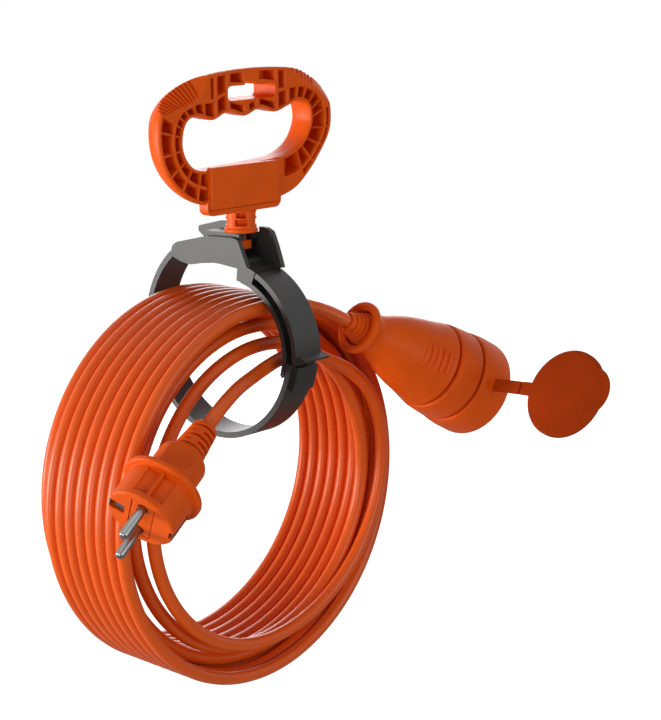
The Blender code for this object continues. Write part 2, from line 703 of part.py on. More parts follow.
def stretch(name, start, start_dir, keys, end, end_dir):
    """Free cord: straight for one diameter at both ends, smooth through the keys between."""
    fine = np.array(catmull([start + start_dir * CORD_D] + keys + [end - end_dir * CORD_D],
                            False, 40))
    length = np.concatenate([[0], np.cumsum(np.linalg.norm(np.diff(fine, axis=0), axis=1))])
    count = int(length[-1] / (1.15 * CORD_D))
    at = np.linspace(0, length[-1], count + 1)
    pts = np.stack([np.interp(at, length, fine[:, k]) for k in range(3)], axis=1)
    pts = np.vstack([start, pts, end])
    print(name, "length mm", round(float(length[-1] + 2 * CORD_D), 1), "points", len(pts))
    return tube(name, pts, CORD_R, 2, CORD_ORANGE, 0.45)


def ring_pt(x, y, z):
    return np.array([x, y + RING_Y, z + RING_Z])


# ------------------------------------------------------------------ plug
PLUG = frame(tuple(ring_pt(*PLUG_MOUTH)), PLUG_AXIS, PLUG_PIN_DIR)


def plug_parts():
    """Local frame: z from the cord's mouth to the pin face, x through the two pins."""
    face = PLUG_LEN
    relief = [(CORD_R + 0.5, 0.4), (6.0, 0.4), (6.3, 1.2)]
    for k in range(4):
        z = 3.4 + k * 3.4
        r = 6.7 + 0.32 * k
        relief += [(r, z - 0.8), (r - 1.3, z - 0.6), (r - 1.3, z + 0.6), (r + 0.1, z + 0.8)]
    relief += [(8.2, 17.0), (8.2, 17.7), (CORD_R + 0.5, 17.7)]
    bend = lathe("plug_bend_relief", relief, PLUG, 18, colour=ORANGE, rough=0.5)
    front = face - PLUG_FRONT
    grip = PLUG_GRIP_R
    profile = [(0, 18.0), (8.0, 18.0), (9.2, 19.0), (10.2, 20.6), (grip - 0.9, 22.4),
               (grip, 24.6), (grip, 31.6), (grip - 0.5, 35.0), (grip - 0.3, front - 5.4),
               (PLUG_FLANGE_R - 1.0, front - 3.8),
               (PLUG_FLANGE_R, front - 2.8), (PLUG_FLANGE_R, front - 0.8),
               (PLUG_FLANGE_R - 0.8, front),
               (PLUG_FACE_R, front), (PLUG_FACE_R, face - 0.8), (PLUG_FACE_R - 0.8, face),
               (0, face)]
    shell = lathe("plug_body", profile, PLUG, 32, colour=ORANGE, rough=0.45)
    wall = PLUG_FACE_R - GUIDE_DEEP
    slot = front + 5.0
    for sign in (-1, 1):
        # thumb flats on the grip, guide panels either side of a ridge beside the contacts
        side = PLUG @ Matrix.Rotation(math.radians(90 - 90 * sign), 4, 'Z')
        cut(shell, box("flat", (grip - 2.4, -30.0, 21.4), (30.0, 30.0, 34.0), side))
        for low, high in ((-7.8, -0.8), (0.8, 7.8)):
            cut(shell, box("guide", (wall - 1.4, low, front + 1.2), (30.0, high, face - 3.2), side))
    # recess of the pin bridge from the face
    bridge_low = slot - 2.0
    cut(shell, box("bridge_seat", (-13.4, -6.4, bridge_low), (13.4, 6.4, face + 5), PLUG))
    # earth contact slots at both sides, the one at -y wide enough for an earth pin
    cut(shell, box("earth_slot", (-3.2, -PLUG_FACE_R - 5, slot), (3.2, -9.0, face + 5), PLUG))
    cut(shell, box("earth_slot", (-2.4, PLUG_FACE_R - 2.6, slot), (2.4, PLUG_FACE_R + 5, face + 5),
                   PLUG))
    bridge = box("plug_pin_bridge", (-13.1, -6.1, bridge_low + GAP), (13.1, 6.1, face - 0.2), PLUG,
                 colour=ORANGE, rough=0.5)
    pins = []
    for sign, label in ((-1, "a"), (1, "b")):
        at = PLUG @ Matrix.Translation((sign * PIN_PITCH / 2, 0, 0))
        cut(bridge, cylinder("hole", PIN_D / 2 + GAP, face - 30, face + 20, at, 20))
        r = PIN_D / 2
        foot = bridge_low + 2 * GAP
        pins.append(lathe("plug_pin_" + label,
                          [(0, foot), (r, foot), (r, face + PIN_LEN - 1.6),
                           (r - 0.5, face + PIN_LEN - 0.6), (r - 1.5, face + PIN_LEN),
                           (0, face + PIN_LEN)], at, 20, colour=METAL, rough=0.25, metallic=1.0))
    # earth clips: strip along the side with a bent foot
    out = PLUG_FACE_R - 0.4
    strip = 0.8
    foot = slot + 0.5
    socket_clip = [(-out, foot), (-9.3, foot), (-9.3, foot + 7.5), (-9.3 - strip, foot + 7.5),
                   (-9.3 - strip, foot + strip), (strip - out, foot + strip),
                   (strip - out, face - 0.6), (-out, face - 0.6)]
    clip_a = prism("plug_earth_contact_a", socket_clip, -2.8, 2.8, PLUG, colour=METAL, rough=0.35,
                   metallic=1.0)
    side_clip = [(out, face - 0.6), (out - strip, face - 0.6), (out - strip, foot + strip),
                 (PLUG_FACE_R - 2.2, foot + strip), (PLUG_FACE_R - 2.2, foot), (out, foot)]
    clip_b = prism("plug_earth_contact_b", side_clip[::-1], -2.0, 2.0, PLUG, colour=METAL,
                   rough=0.35, metallic=1.0)
    return [bend, shell, bridge] + pins + [clip_a, clip_b]


# ------------------------------------------------------------------ socket
def socket_frame():
    """Local frame: z from the cord's mouth to the open face, x towards the cap's strap."""
    return frame(tuple(ring_pt(*SOCKET_MOUTH)), SOCKET_AXIS, STRAP_DIR)


SOCKET = socket_frame()


def socket_parts():
    top = SOCKET_LEN
    relief = [(CORD_R + 0.5, 0.4), (5.2, 0.4), (5.4, 1.4)]
    for k in range(3):
        z = 3.6 + k * 3.2
        r = 5.9 + 1.1 * k
        relief += [(r, z - 0.7), (r - 0.9, z - 0.5), (r - 0.9, z + 0.5), (r + 0.6, z + 0.8)]
    relief += [(9.6, 12.4), (9.6, 14.7), (CORD_R + 0.5, 14.7)]
    bend = lathe("socket_bend_relief", relief, SOCKET, 18, colour=ORANGE, rough=0.5)
    bore = INSERT_R + GAP
    low = 60.0
    g0, g1 = GROOVES
    body = [(0, 15.0), (9.9, 15.0), (10.2, 9.8), (12.6, 8.2), (14.2, 8.5), (14.9, 9.7), (14.6, 11.6),
            (12.4, 14.0), (11.3, 17.5), (12.2, 23.0), (15.3, 31.0), (18.5, 40.0), (20.8, 49.0),
            (22.7, 58.0), (24.6, g0 - 1.2), (23.8, g0), (bore, g0), (bore, low), (0, low)]
    grip = lathe("socket_grip_body", body, SOCKET, 32, colour=ORANGE, rough=0.45)
    for k in range(5):
        # finger ribs on two opposite sides, square to the strap
        for turn in (2, 182):
            z = 45.0 + k * 3.3
            r = 20.8 + (z - 49.0) * 0.215
            local = SOCKET @ Matrix.Rotation(math.radians(turn), 4, 'Z')
            join(grip, box("rib", (r - 1.4, -6.5, z - 0.7), (r + 0.9, 6.5, z + 0.7), local))
    collar = lathe("socket_collar",
                   [(bore, g0 + GROOVE_W), (24.6, g0 + GROOVE_W), (25.6, g0 + GROOVE_W + 1.0),
                    (26.0, g0 + 7.0), (26.7, g1 - 1.2), (26.0, g1), (bore, g1)],
                   SOCKET, 32, colour=ORANGE, rough=0.45)
    g2 = g1 + GROOVE_W
    ring = lathe("socket_front_ring",
                 [(bore, g2), (SOCKET_R - 1.6, g2), (SOCKET_R - 0.7, g2 + 1.0),
                  (SOCKET_R, g2 + 8.0), (SOCKET_R, top - 4.6), (SOCKET_R - 0.5, top - 2.4),
                  (SOCKET_R - 1.6, top - 0.7), (SOCKET_R - 3.2, top), (bore, top)],
                 SOCKET, 32, colour=ORANGE, rough=0.45)
    floor = top - RECESS_DEPTH
    insert = lathe("socket_insert",
                   [(0, low + GAP), (INSERT_R - 1.0, low + GAP), (INSERT_R, low + GAP + 1.0),
                    (INSERT_R, top - 0.6), (INSERT_R - 0.5, top - 0.1),
                    (RECESS_R + 0.4, top - 0.1), (RECESS_R, top - 0.5), (RECESS_R, floor),
                    (0, floor)],
                   SOCKET, 32, colour=ORANGE, rough=0.5)
    parts = [bend, grip, collar, ring, insert]
    turn = Matrix.Rotation(math.radians(35), 4, 'Z')
    for sign, label in ((-1, "a"), (1, "b")):
        at = SOCKET @ turn @ Matrix.Translation((sign * PIN_PITCH / 2, 0, 0))
        cut(insert, lathe("seat", [(0, floor - 24.0), (3.6, floor - 24.0), (3.6, floor - 1.4),
                                   (2.9, floor - 1.4), (2.9, floor + 3.0), (0, floor + 3.0)], at, 16))
        parts.append(lathe("socket_contact_" + label,
                           [(3.3, floor - 23.7), (3.3, floor - 1.7), (2.5, floor - 1.7),
                            (2.5, floor - 21.0), (0, floor - 21.0), (0, floor - 23.7)],
                           at, 16, colour=BRASS, rough=0.3, metallic=1.0))
    at = SOCKET @ turn @ Matrix.Translation((0, 10.0, 0))
    r = 2.4
    cut(insert, cylinder("earth_hole", r + GAP, floor - 14.0, floor + 3, at, 18))
    parts.append(lathe("socket_earth_pin",
                       [(0, floor - 13.7), (r, floor - 13.7), (r, floor + 12.6), (r - 0.6, floor + 13.8),
                        (0, floor + 14.0)], at, 18, colour=METAL, rough=0.25, metallic=1.0))
    return parts


# hinge points of the strap in the socket's local (x, z) plane
HINGE1 = (SOCKET_R + 2.2, SOCKET_LEN - STRAP_BACK)
OPEN = math.radians(STRAP_OPEN_DEG)
HINGE2 = (HINGE1[0] + STRAP_LINK * math.cos(OPEN), HINGE1[1] + STRAP_LINK * math.sin(OPEN))


def hinge_end(length):
    """Side outline of a strap piece: round end about its hinge at 0, straight to length."""
    r = STRAP_T / 2
    turns = [math.radians(a) for a in np.linspace(90, 270, 9)]
    return [(length, -r), (length, r)] + [(r * math.cos(a), r * math.sin(a)) for a in turns]


def strap_parts(ring):
    """Strap link and cap lie square to the socket; each turns about its own round end."""
    x1, z1 = HINGE1
    half = STRAP_W / 2
    edge = STRAP_T / 2 + STRAP_ROOM
    # lug on the front ring that holds the strap
    lug = box("lug", (SOCKET_R - 1.5, -half - 0.8, z1 - 2.4), (x1 - edge, half + 0.8, z1 + 2.4), SOCKET)
    join(ring, lug)
    side_view = Matrix(((0, 1, 0, 0), (1, 0, 0, 0), (0, 0, 1, 0), (0, 0, 0, 1)))
    lean = Matrix.Rotation(-OPEN, 4, 'Y')
    link_frame = SOCKET @ Matrix.Translation((x1, 0, z1)) @ lean
    link = prism("cap_strap", hinge_end(STRAP_LINK - edge), -half, half, link_frame @ side_view,
                 colour=ORANGE, rough=0.5)
    cap_frame = link_frame @ Matrix.Translation((STRAP_LINK, 0, 0))
    centre = cap_frame @ Matrix.Translation((STRAP_ARM + CAP_R, 0, 0))
    # outer face looks back along -z when open; the sealing ring is on the +z side
    seal = RECESS_R - 1.6
    cap = lathe("socket_cap",
                [(0, -CAP_T / 2), (CAP_R - 1.2, -CAP_T / 2), (CAP_R, -CAP_T / 2 + 1.0),
                 (CAP_R, CAP_T / 2 + 0.6), (CAP_R - 1.6, CAP_T / 2 + 0.6),
                 (CAP_R - 1.6, CAP_T / 2 - 0.4), (seal, CAP_T / 2 - 0.4),
                 (seal - 0.6, CAP_T / 2 + 2.2), (seal - 2.4, CAP_T / 2 + 2.2),
                 (seal - 2.6, CAP_T / 2 - 0.4), (0, CAP_T / 2 - 0.4)],
                centre, 30, colour=ORANGE, rough=0.6)
    arm = prism("arm", hinge_end(STRAP_ARM + 3.0), -half, half, cap_frame @ side_view)
    join(cap, arm)
    # thumb tab, a crescent on the rim away from the socket
    turn = centre @ Matrix.Rotation(math.radians(TAB_DEG), 4, 'Z')
    tab = [(CAP_R * 0.92 * math.cos(math.radians(a)), CAP_R * 0.92 * math.sin(math.radians(a)))
           for a in (24, 12, 0, -12, -24)]
    tab += [(CAP_R + TAB_LEN * math.cos(math.radians(a * 3.2)),
             CAP_R * math.sin(math.radians(a)) * 1.04) for a in (-24, -16, -8, 0, 8, 16, 24)]
    flat = Matrix(((0, 1, 0, 0), (0, 0, 1, 0), (1, 0, 0, 0), (0, 0, 0, 1)))
    join(cap, prism("tab", tab, -CAP_T / 2 + 0.3, CAP_T / 2 - 0.3, turn @ flat))
    return link, cap


# ------------------------------------------------------------------ build
frame_obj = handle_frame()
plate_obj = name_plate(frame_obj)
stem_obj = swivel_stem()

clip = clip_body()
arm_obj = latch_arm()
jaw_obj = clip_jaw()
pin_obj = hinge_pin()

winding = coil_points()
gap, wound = least_self_gap(winding)
print("coil least gap to itself mm", round(float(gap), 3), "wound length mm", round(float(wound), 1))
coil_obj = tube("cord_coil", winding, CORD_R, 1, CORD_ORANGE, 0.45)

d0 = (winding[0] - winding[1]) / np.linalg.norm(winding[0] - winding[1])
d1 = (winding[-1] - winding[-2]) / np.linalg.norm(winding[-1] - winding[-2])
s_mouth = ring_pt(*SOCKET_MOUTH)
s_dir = np.array(Vector(SOCKET_AXIS).normalized())
p_mouth = ring_pt(*PLUG_MOUTH)
p_dir = np.array(Vector(PLUG_AXIS).normalized())
# each cord ends inside its bend relief
to_socket = stretch("cord_to_socket", winding[0] + d0 * GAP, d0,
                    [ring_pt(21.0, -34.0, 17.9), ring_pt(28.5, -38.4, 15.2),
                     ring_pt(36.0, -42.9, 11.6), s_mouth],
                    s_mouth + s_dir * (15.0 - GAP), s_dir)
to_plug = stretch("cord_to_plug", winding[-1] + d1 * GAP, d1,
                  [ring_pt(2.0, -37.8, -7.4), ring_pt(-10.0, -39.8, -9.0),
                   ring_pt(-25.0, -43.2, -11.6), ring_pt(-42.0, -47.9, -14.8),
                   p_mouth - p_dir * 9.0, p_mouth],
                  p_mouth + p_dir * (18.0 - GAP), p_dir)

plug_objs = plug_parts()
socket_objs = socket_parts()
strap_obj, cap_obj = strap_parts(socket_objs[3])

# ---- bodies: handle is the root, the clip hangs on the swivel ----
root = empty("handle", (0, 0, 0))
swivel = empty("carrier", (0, 0, RING_Z + DECK_TOP))
jaw_axis = empty("jaw", (0, RING_Y + HINGE_Y, RING_Z + HINGE_Z))
latch_y, latch_z = arm_arc((ARM_R_IN + ARM_R_OUT) / 2, ARM_DEG[0], ARM_DEG[1], 2)[0]
arm_axis = empty("latch", (0, RING_Y + latch_y, RING_Z + latch_z))
strap_axis = empty("strap", (HINGE1[0], 0, HINGE1[1]), SOCKET)
cap_axis = empty("cap", (HINGE2[0], 0, HINGE2[1]), SOCKET)
parent([frame_obj, plate_obj, stem_obj, swivel], root)
parent([clip, pin_obj, coil_obj, to_socket, to_plug, jaw_axis, arm_axis, strap_axis]
       + plug_objs + socket_objs, swivel)
parent([jaw_obj], jaw_axis)
parent([arm_obj], arm_axis)
parent([strap_obj, cap_axis], strap_axis)
parent([cap_obj], cap_axis)
for label, local in (("strap hinge", HINGE1), ("cap hinge", HINGE2)):
    print(label, [round(float(c) * MM, 6) for c in SOCKET @ Vector((local[0], 0, local[1]))])
print("hinge axis", [round(float(c), 5) for c in (SOCKET.to_3x3() @ Vector((0, 1, 0)))])
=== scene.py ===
"""Looks of an extension cord wound on a carrying clip with a swivel handle.

World frame: +Z up, origin in the notch of the handle's hang slot, X along the grip, Y along the
axis of the wound cord. Shapes are worked out in millimetres and put into the meshes in metres.
"""

import math

import bmesh
import bpy
import numpy as np
from bpy.props import FloatProperty, FloatVectorProperty, IntProperty, PointerProperty
from mathutils import Matrix, Vector


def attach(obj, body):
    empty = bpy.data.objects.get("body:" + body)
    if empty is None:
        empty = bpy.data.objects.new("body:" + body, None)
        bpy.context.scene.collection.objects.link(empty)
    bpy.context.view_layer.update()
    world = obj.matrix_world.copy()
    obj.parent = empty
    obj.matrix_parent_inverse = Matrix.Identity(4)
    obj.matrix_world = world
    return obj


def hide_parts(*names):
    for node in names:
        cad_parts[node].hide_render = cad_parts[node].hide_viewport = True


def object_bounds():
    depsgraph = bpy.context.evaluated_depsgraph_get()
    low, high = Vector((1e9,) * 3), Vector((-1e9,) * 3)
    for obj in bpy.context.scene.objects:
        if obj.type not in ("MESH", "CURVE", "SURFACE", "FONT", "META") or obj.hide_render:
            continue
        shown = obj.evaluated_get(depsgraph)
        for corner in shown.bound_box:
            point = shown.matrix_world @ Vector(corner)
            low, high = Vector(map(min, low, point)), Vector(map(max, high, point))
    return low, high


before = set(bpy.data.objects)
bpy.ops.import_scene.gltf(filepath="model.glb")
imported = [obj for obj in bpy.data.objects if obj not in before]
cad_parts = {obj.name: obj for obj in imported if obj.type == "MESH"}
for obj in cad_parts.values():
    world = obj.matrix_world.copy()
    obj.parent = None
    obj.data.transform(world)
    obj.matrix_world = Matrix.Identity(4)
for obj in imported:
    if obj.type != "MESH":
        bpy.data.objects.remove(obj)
CAD_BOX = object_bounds()

bl_info = {
    "name": "Extension cord on a carrying clip",
    "version": (1, 0, 0),
    "blender": (4, 5, 0),
    "location": "3D View > Sidebar > Cord",
    "description": "Builds the shown pieces of a wound extension cord, its clip, plug and socket",
    "category": "Add Mesh",
}

MM = 0.001
# room between two solids that meet
GAP = 0.3

# ring of the clip: its centre from the hang slot, then radii and places from that centre
RING_Y = 10.0
RING_Z = -136.0
JAW_R_IN = 51.7
JAW_R_OUT = 55.0
JAW_TIP_DEG = -172.5
BAND_HALF_X = 9.6
# latch arm and inner finger: common centre, inner and outer radius, and where the arm runs
ARM_C = (-11.7, -4.5)
FINGER_R = (36.9, 39.6)
ARM_R = (43.45, 46.45)
ARM_DEG = (113.0, 182.0)
LIP_END = -63.9
FINGER_TIP_DEG = 197.0
PLATE_IN_X = 6.8
HINGE_DEG = -10.0
HINGE_R = 54.4
HINGE_Y = HINGE_R * math.cos(math.radians(HINGE_DEG))
HINGE_Z = HINGE_R * math.sin(math.radians(HINGE_DEG))
KNUCKLE_R = 3.6
DECK_TOP = 56.6
DECK_T = 3.0

# handle: how far its foot hangs below the notch, its plate, its slot, and half its depth
HANDLE_FOOT = 66.8
PLATE_X = (-31.5, 18.6)
PLATE_Z = (-63.8, -42.0)
SLOT_X = (-16.5, 18.6)
SLOT_Z = (-9.2, -1.8)
NOTCH = 3.2
HALF_Y = 8.0
CELL_FLOOR_Y = 2.0
OUTER_FLOOR_Y = 0.0
NECK_FLANGE_R = 8.9
NECK_R = 8.2
STEM_R = 2.5

# cord: two layers of turns; the slack last ones as (turn, radius), smooth from one to the next
PITCH = 7.72
COIL_X = -4.0
COIL_Z = -81.5
COIL_NEAR_Y = -32.2
R_OUTER = 102.0
START_DEG = 88.0
OUTER_TURNS = 8.0
CLIMB_TURNS = 0.5
TOTAL_TURNS = 16.94
CLIMB_BULGE = 1.6
LAYER_SHIFT = 0.4
INNER_NEAR_Y = -35.4
SLACK = ((14.5, R_OUTER - PITCH), (15.2, 88.0), (16.07, 80.5), (16.52, 83.0), (16.8, 91.5),
         (TOTAL_TURNS, 78.5))
POINTS_PER_TURN = 24

CORD_IN_SOCKET = 14.6
CORD_IN_PLUG = 17.6
SLEEVE_ROOM = 0.15

# plug and socket: where the cord enters, from the ring's centre, then sizes along the axis from
# there, save the pins' length, which counts from the face; thumb flat: start, end and depth
PLUG_MOUTH = (-69.4, -53.5, -28.2)
PLUG_AXIS = (-0.842, -0.140, -0.522)
PLUG_SIDE = (0.361, 0.574, -0.735)
PLUG_LEN = 63.5
PLUG_FRONT = 19.0
PLUG_GRIP_R = 13.0
PLUG_FACE_R = 18.2
PLUG_FLANGE_R = 21.3
THUMB_FLAT = (21.2, 34.4, 2.4)
GUIDE_DEEP = 1.2
EARTH_FOOT = PLUG_LEN - PLUG_FRONT + 5.0
BRIDGE_FOOT = PLUG_LEN - PLUG_FRONT + 3.0
PIN_PITCH = 19.0
PIN_R = 2.4
PIN_LEN = 18.5
SOCKET_MOUTH = (43.8, -45.5, 7.0)
SOCKET_AXIS = (0.8627, -0.1461, -0.4841)
SOCKET_SIDE = (-0.1113, -0.9887, 0.1)
SOCKET_LEN = 109.0
SOCKET_R = 28.0
GROOVES = (66.5, 84.5)
GROOVE_W = 1.6
# finger ribs of the socket's grip: first, pitch, how many, height, half their reach round it
FINGER_RIBS = (45.4, 3.7, 5, 1.3, 6.9)
WELL_Z = 60.0
RECESS_R = 19.8
RECESS_DEPTH = 17.0
INSERT_R = 21.5
CAP_R = 24.8
CAP_T = 3.0
STRAP_LINK = 18.6
STRAP_ARM = 5.2
STRAP_W = 7.2
STRAP_T = 2.2
STRAP_ROOM = 0.35
TAB_DEG = -12.0
TAB_LEN = 3.6
STRAP_HINGE = (SOCKET_R + 2.2, SOCKET_LEN - 14.6)
STRAP_LEAN = math.radians(2.0)


def linear(code):
    """Linear red, green and blue of an sRGB hex colour."""
    parts = [int(code[i:i + 2], 16) / 255 for i in (1, 3, 5)]
    return tuple(p / 12.92 if p <= 0.04045 else ((p + 0.055) / 1.055) ** 2.4 for p in parts)


def shade(colour, factor):
    """The colour made darker by a factor."""
    return tuple(c * factor for c in colour)


# ------------------------------------------------------------------ settings
class CordSettings(bpy.types.PropertyGroup):
    """Sizes of the wound cord."""
    diameter: FloatProperty(name="Cord diameter", description="Outside diameter of the sheath",
                            default=0.0072, min=0.005, max=0.010, unit="LENGTH")
    sides: IntProperty(name="Sides", description="Sides of the round sheath", default=20,
                       min=12, max=32)
    spacing: FloatProperty(name="Ring spacing", description="Length of one step of the tube",
                           default=0.0042, min=0.002, max=0.01, unit="LENGTH")


class ShapeSettings(bpy.types.PropertyGroup):
    """Small sizes shared by the moulded pieces."""
    edge: FloatProperty(name="Edge rounding", description="Rounding of the clip's moulded edges",
                        default=0.00045, min=0.0001, max=0.001, unit="LENGTH")
    knurl: FloatProperty(name="Knurl depth", description="Depth of the grooves on the shoulders",
                         default=0.0014, min=0.0, max=0.002, unit="LENGTH")
    floor_drop: FloatProperty(name="Floor distance", description="Floor below the lowest turn",
                              default=0.115, min=0.0, max=0.5, unit="LENGTH")


def colour_property(label, text, code):
    """Colour setting whose default is an sRGB hex value."""
    return FloatVectorProperty(name=label, description=text, subtype="COLOR", size=3, min=0.0,
                               max=1.0, default=linear(code))


class ColourSettings(bpy.types.PropertyGroup):
    """Colours of the finishes."""
    cord: colour_property("Cord sheath", "Extruded sheath of the cord", "#EA5C0C")
    moulded: colour_property("Plug and socket", "Soft moulded plug and socket", "#EC5A0A")
    handle: colour_property("Handle", "Hard moulded handle", "#F25E0A")
    # cap and strap: a darker orange, partly the matte PVC's own colour, partly painted shade of faces
    # turned away from the lamps
    cap: colour_property("Cap", "Matte outer face of the cap", "#B83E06")
    black: colour_property("Clip", "Black moulded clip", "#21201F")
    # pins: grey set darker than bare plating, partly the plating's own grey, partly a painted darker
    # reflection of the surroundings
    nickel: colour_property("Pins", "Nickel-plated pins", "#8C8D8C")
    brass: colour_property("Contacts", "Brass contact tubes", "#D9B566")


# ------------------------------------------------------------------ places
def ring(x, y, z):
    """Point given from the ring's centre."""
    return np.array([x, y + RING_Y, z + RING_Z], float)


def frame_at(origin, axis, side):
    """Right-handed frame: z along axis, x along side made square to it."""
    z = Vector(axis).normalized()
    x = Vector(side)
    x = (x - z * x.dot(z)).normalized()
    made = Matrix((x, z.cross(x), z)).transposed().to_4x4()
    made.translation = Vector(origin)
    return made


RING = Matrix.Translation((0.0, RING_Y, RING_Z))
# lays a prism's outline on X and Z with its depth along Y, or on X and Y with its depth along Z
FRONT = Matrix(((0, 1, 0, 0), (1, 0, 0, 0), (0, 0, 1, 0), (0, 0, 0, 1)))
FLAT = Matrix(((0, 1, 0, 0), (0, 0, 1, 0), (1, 0, 0, 0), (0, 0, 0, 1)))
HINGE = frame_at((0.0, RING_Y + HINGE_Y, RING_Z + HINGE_Z), (1, 0, 0), (0, 1, 0))
PLUG = frame_at(ring(*PLUG_MOUTH), PLUG_AXIS, PLUG_SIDE)
SOCKET = frame_at(ring(*SOCKET_MOUTH), SOCKET_AXIS, SOCKET_SIDE)
LINK = (SOCKET @ Matrix.Translation((STRAP_HINGE[0], 0, STRAP_HINGE[1]))
        @ Matrix.Rotation(-STRAP_LEAN, 4, 'Y'))
CAP = LINK @ Matrix.Translation((STRAP_LINK + STRAP_ARM + CAP_R, 0, 0))


def turned(place, degrees):
    """The place turned about its own axis."""
    return place @ Matrix.Rotation(math.radians(degrees), 4, 'Z')


# ------------------------------------------------------------------ surfaces
def grid_faces(rows, cols, closed=False):
    """Quads between rows of points, each row a loop; `closed` joins the last row to the first."""
    i, j = np.meshgrid(np.arange(rows if closed else rows - 1), np.arange(cols), indexing="ij")
    i1, j1 = (i + 1) % rows, (j + 1) % cols
    return np.stack([i * cols + j, i * cols + j1, i1 * cols + j1, i1 * cols + j], -1).reshape(-1, 4)


def new_object(name, points, faces, place=Matrix()):
    """Mesh object from millimetre points of a place, doubles merged and normals outward."""
    points = np.asarray(points, float).reshape(-1, 3)
    points = points @ np.array(place.to_3x3()).T + np.array(place.translation)
    mesh = bpy.data.meshes.new(name)
    mesh.from_pydata((points * MM).tolist(), [], [list(map(int, f)) for f in faces])
    work = bmesh.new()
    work.from_mesh(mesh)
    bmesh.ops.remove_doubles(work, verts=work.verts, dist=1e-7)
    bmesh.ops.dissolve_degenerate(work, edges=work.edges, dist=1e-8)
    bmesh.ops.recalc_face_normals(work, faces=work.faces)
    work.to_mesh(mesh)
    work.free()
    obj = bpy.data.objects.new(name, mesh)
    bpy.context.scene.collection.objects.link(obj)
    return obj


def soften(points, reach, closed=True, steps=4):
    """Outline with every corner replaced by a short parabola that starts and ends `reach` before
    and after the corner, or less than half an edge where the edge is short."""
    p = np.asarray(points, float)
    ends = []
    for edge in (np.roll(p, 1, axis=0) - p, np.roll(p, -1, axis=0) - p):
        size = np.linalg.norm(edge, axis=1, keepdims=True)
        ends.append((p + edge / np.maximum(size, 1e-9) * np.minimum(reach, 0.45 * size))[:, None])
    t = np.linspace(0, 1, steps)[None, :, None]
    bend = ends[0] * (1 - t) ** 2 + p[:, None] * 2 * t * (1 - t) + ends[1] * t ** 2
    if closed:
        return bend.reshape(-1, 2)
    return np.vstack([p[:1], bend[1:-1].reshape(-1, 2), p[-1:]])


def lathe(name, profile, place, segments, radial=None, closed=False):
    """Surface of revolution: the point at profile (r, z) and angle a is (r cos a, r sin a, z),
    with r changed by radial(r, z, a) where one is given. A closed profile makes a tube."""
    profile = np.asarray(profile, float)
    a = np.linspace(0, 2 * math.pi, segments, endpoint=False)[None, :]
    r, z = profile[:, :1], profile[:, 1:]
    if radial is not None:
        r = radial(r, z, a)
    points = np.stack(np.broadcast_arrays(r * np.cos(a), r * np.sin(a), z), -1)
    return new_object(name, points, grid_faces(len(profile), segments, closed), place)


def prism(name, outline, low, high, place):
    """Solid between two copies of a closed outline (y, z) at x = low and x = high of its place."""
    outline = np.asarray(outline, float)
    n = len(outline)
    points = np.vstack([np.column_stack([np.full(n, x), outline]) for x in (low, high)])
    faces = [np.arange(n)[::-1], np.arange(n, 2 * n)] + list(grid_faces(2, n))
    return new_object(name, points, faces, place)


def block(name, low, high, place):
    """Box between two corners of its place."""
    (x0, y0, z0), (x1, y1, z1) = low, high
    return prism(name, [(y0, z0), (y1, z0), (y1, z1), (y0, z1)], x0, x1, place)


def rod(name, radius, z0, z1, place, segments=48):
    """Cylinder along its place's axis."""
    return lathe(name, [(0, z0), (radius, z0), (radius, z1), (0, z1)], place, segments)


def combine(obj, other, operation):
    """Exact union or difference of two solids, worked at millimetre size."""
    for item in (obj, other):
        item.data.transform(Matrix.Scale(1 / MM, 4))
    mod = obj.modifiers.new("combine", 'BOOLEAN')
    mod.operation, mod.solver, mod.object = operation, 'EXACT', other
    graph = bpy.context.evaluated_depsgraph_get()
    mesh = bpy.data.meshes.new_from_object(obj.evaluated_get(graph))
    mesh.transform(Matrix.Scale(MM, 4))
    if not mesh.polygons:
        raise RuntimeError(f"{obj.name}: nothing is left after joining {other.name}")
    obj.modifiers.clear()
    obj.data = mesh
    bpy.data.objects.remove(other, do_unlink=True)


def cut(obj, other):
    """Takes the other solid out of the first."""
    combine(obj, other, 'DIFFERENCE')


def join(obj, other):
    """Adds the other solid to the first."""
    combine(obj, other, 'UNION')


def round_edges(obj, width, segments=2, angle=38.0):
    """Rounds the sharp moulded edges by `width` metres."""
    mod = obj.modifiers.new("moulded edge", 'BEVEL')
    mod.width, mod.segments, mod.limit_method = width, segments, 'ANGLE'
    mod.angle_limit = math.radians(angle)


def hermite(keys, samples):
    """Smooth curve through the keys: a cubic between each two, whose slope at a key is the mean
    of its two chords, the nearer one weighing more. Evenly spaced in each span."""
    p = np.asarray(keys, float)
    step = np.roll(p, -1, axis=0) - p
    size = np.linalg.norm(step, axis=1, keepdims=True)
    size_in, chord = np.roll(size, 1, axis=0), step / np.maximum(size, 1e-9)
    chord_in = np.roll(chord, 1, axis=0)
    slope = (chord * size_in + chord_in * size) / (size + size_in)
    slope[0], slope[-1] = chord[0], chord_in[-1]
    t = np.linspace(0, 1, samples, endpoint=False)[None, :, None]
    q, m0 = np.roll(p, -1, axis=0)[:, None], slope[:, None] * size[:, None]
    m1 = np.roll(slope, -1, axis=0)[:, None] * size[:, None]
    curve = ((2 * t ** 3 - 3 * t ** 2 + 1) * p[:, None] + (t ** 3 - 2 * t ** 2 + t) * m0
             + (3 * t ** 2 - 2 * t ** 3) * q + (t ** 3 - t ** 2) * m1)
    return np.vstack([curve[:-1].reshape(-1, p.shape[1]), p[-1:]])


def evenly(curve, spacing):
    """Points along a curve at about that spacing, and their distance along it."""
    along = np.concatenate([[0], np.cumsum(np.linalg.norm(np.diff(curve, axis=0), axis=1))])
    at = np.linspace(0, along[-1], max(8, int(along[-1] / spacing)) + 1)
    return np.stack([np.interp(at, along, curve[:, k]) for k in range(curve.shape[1])], 1), at


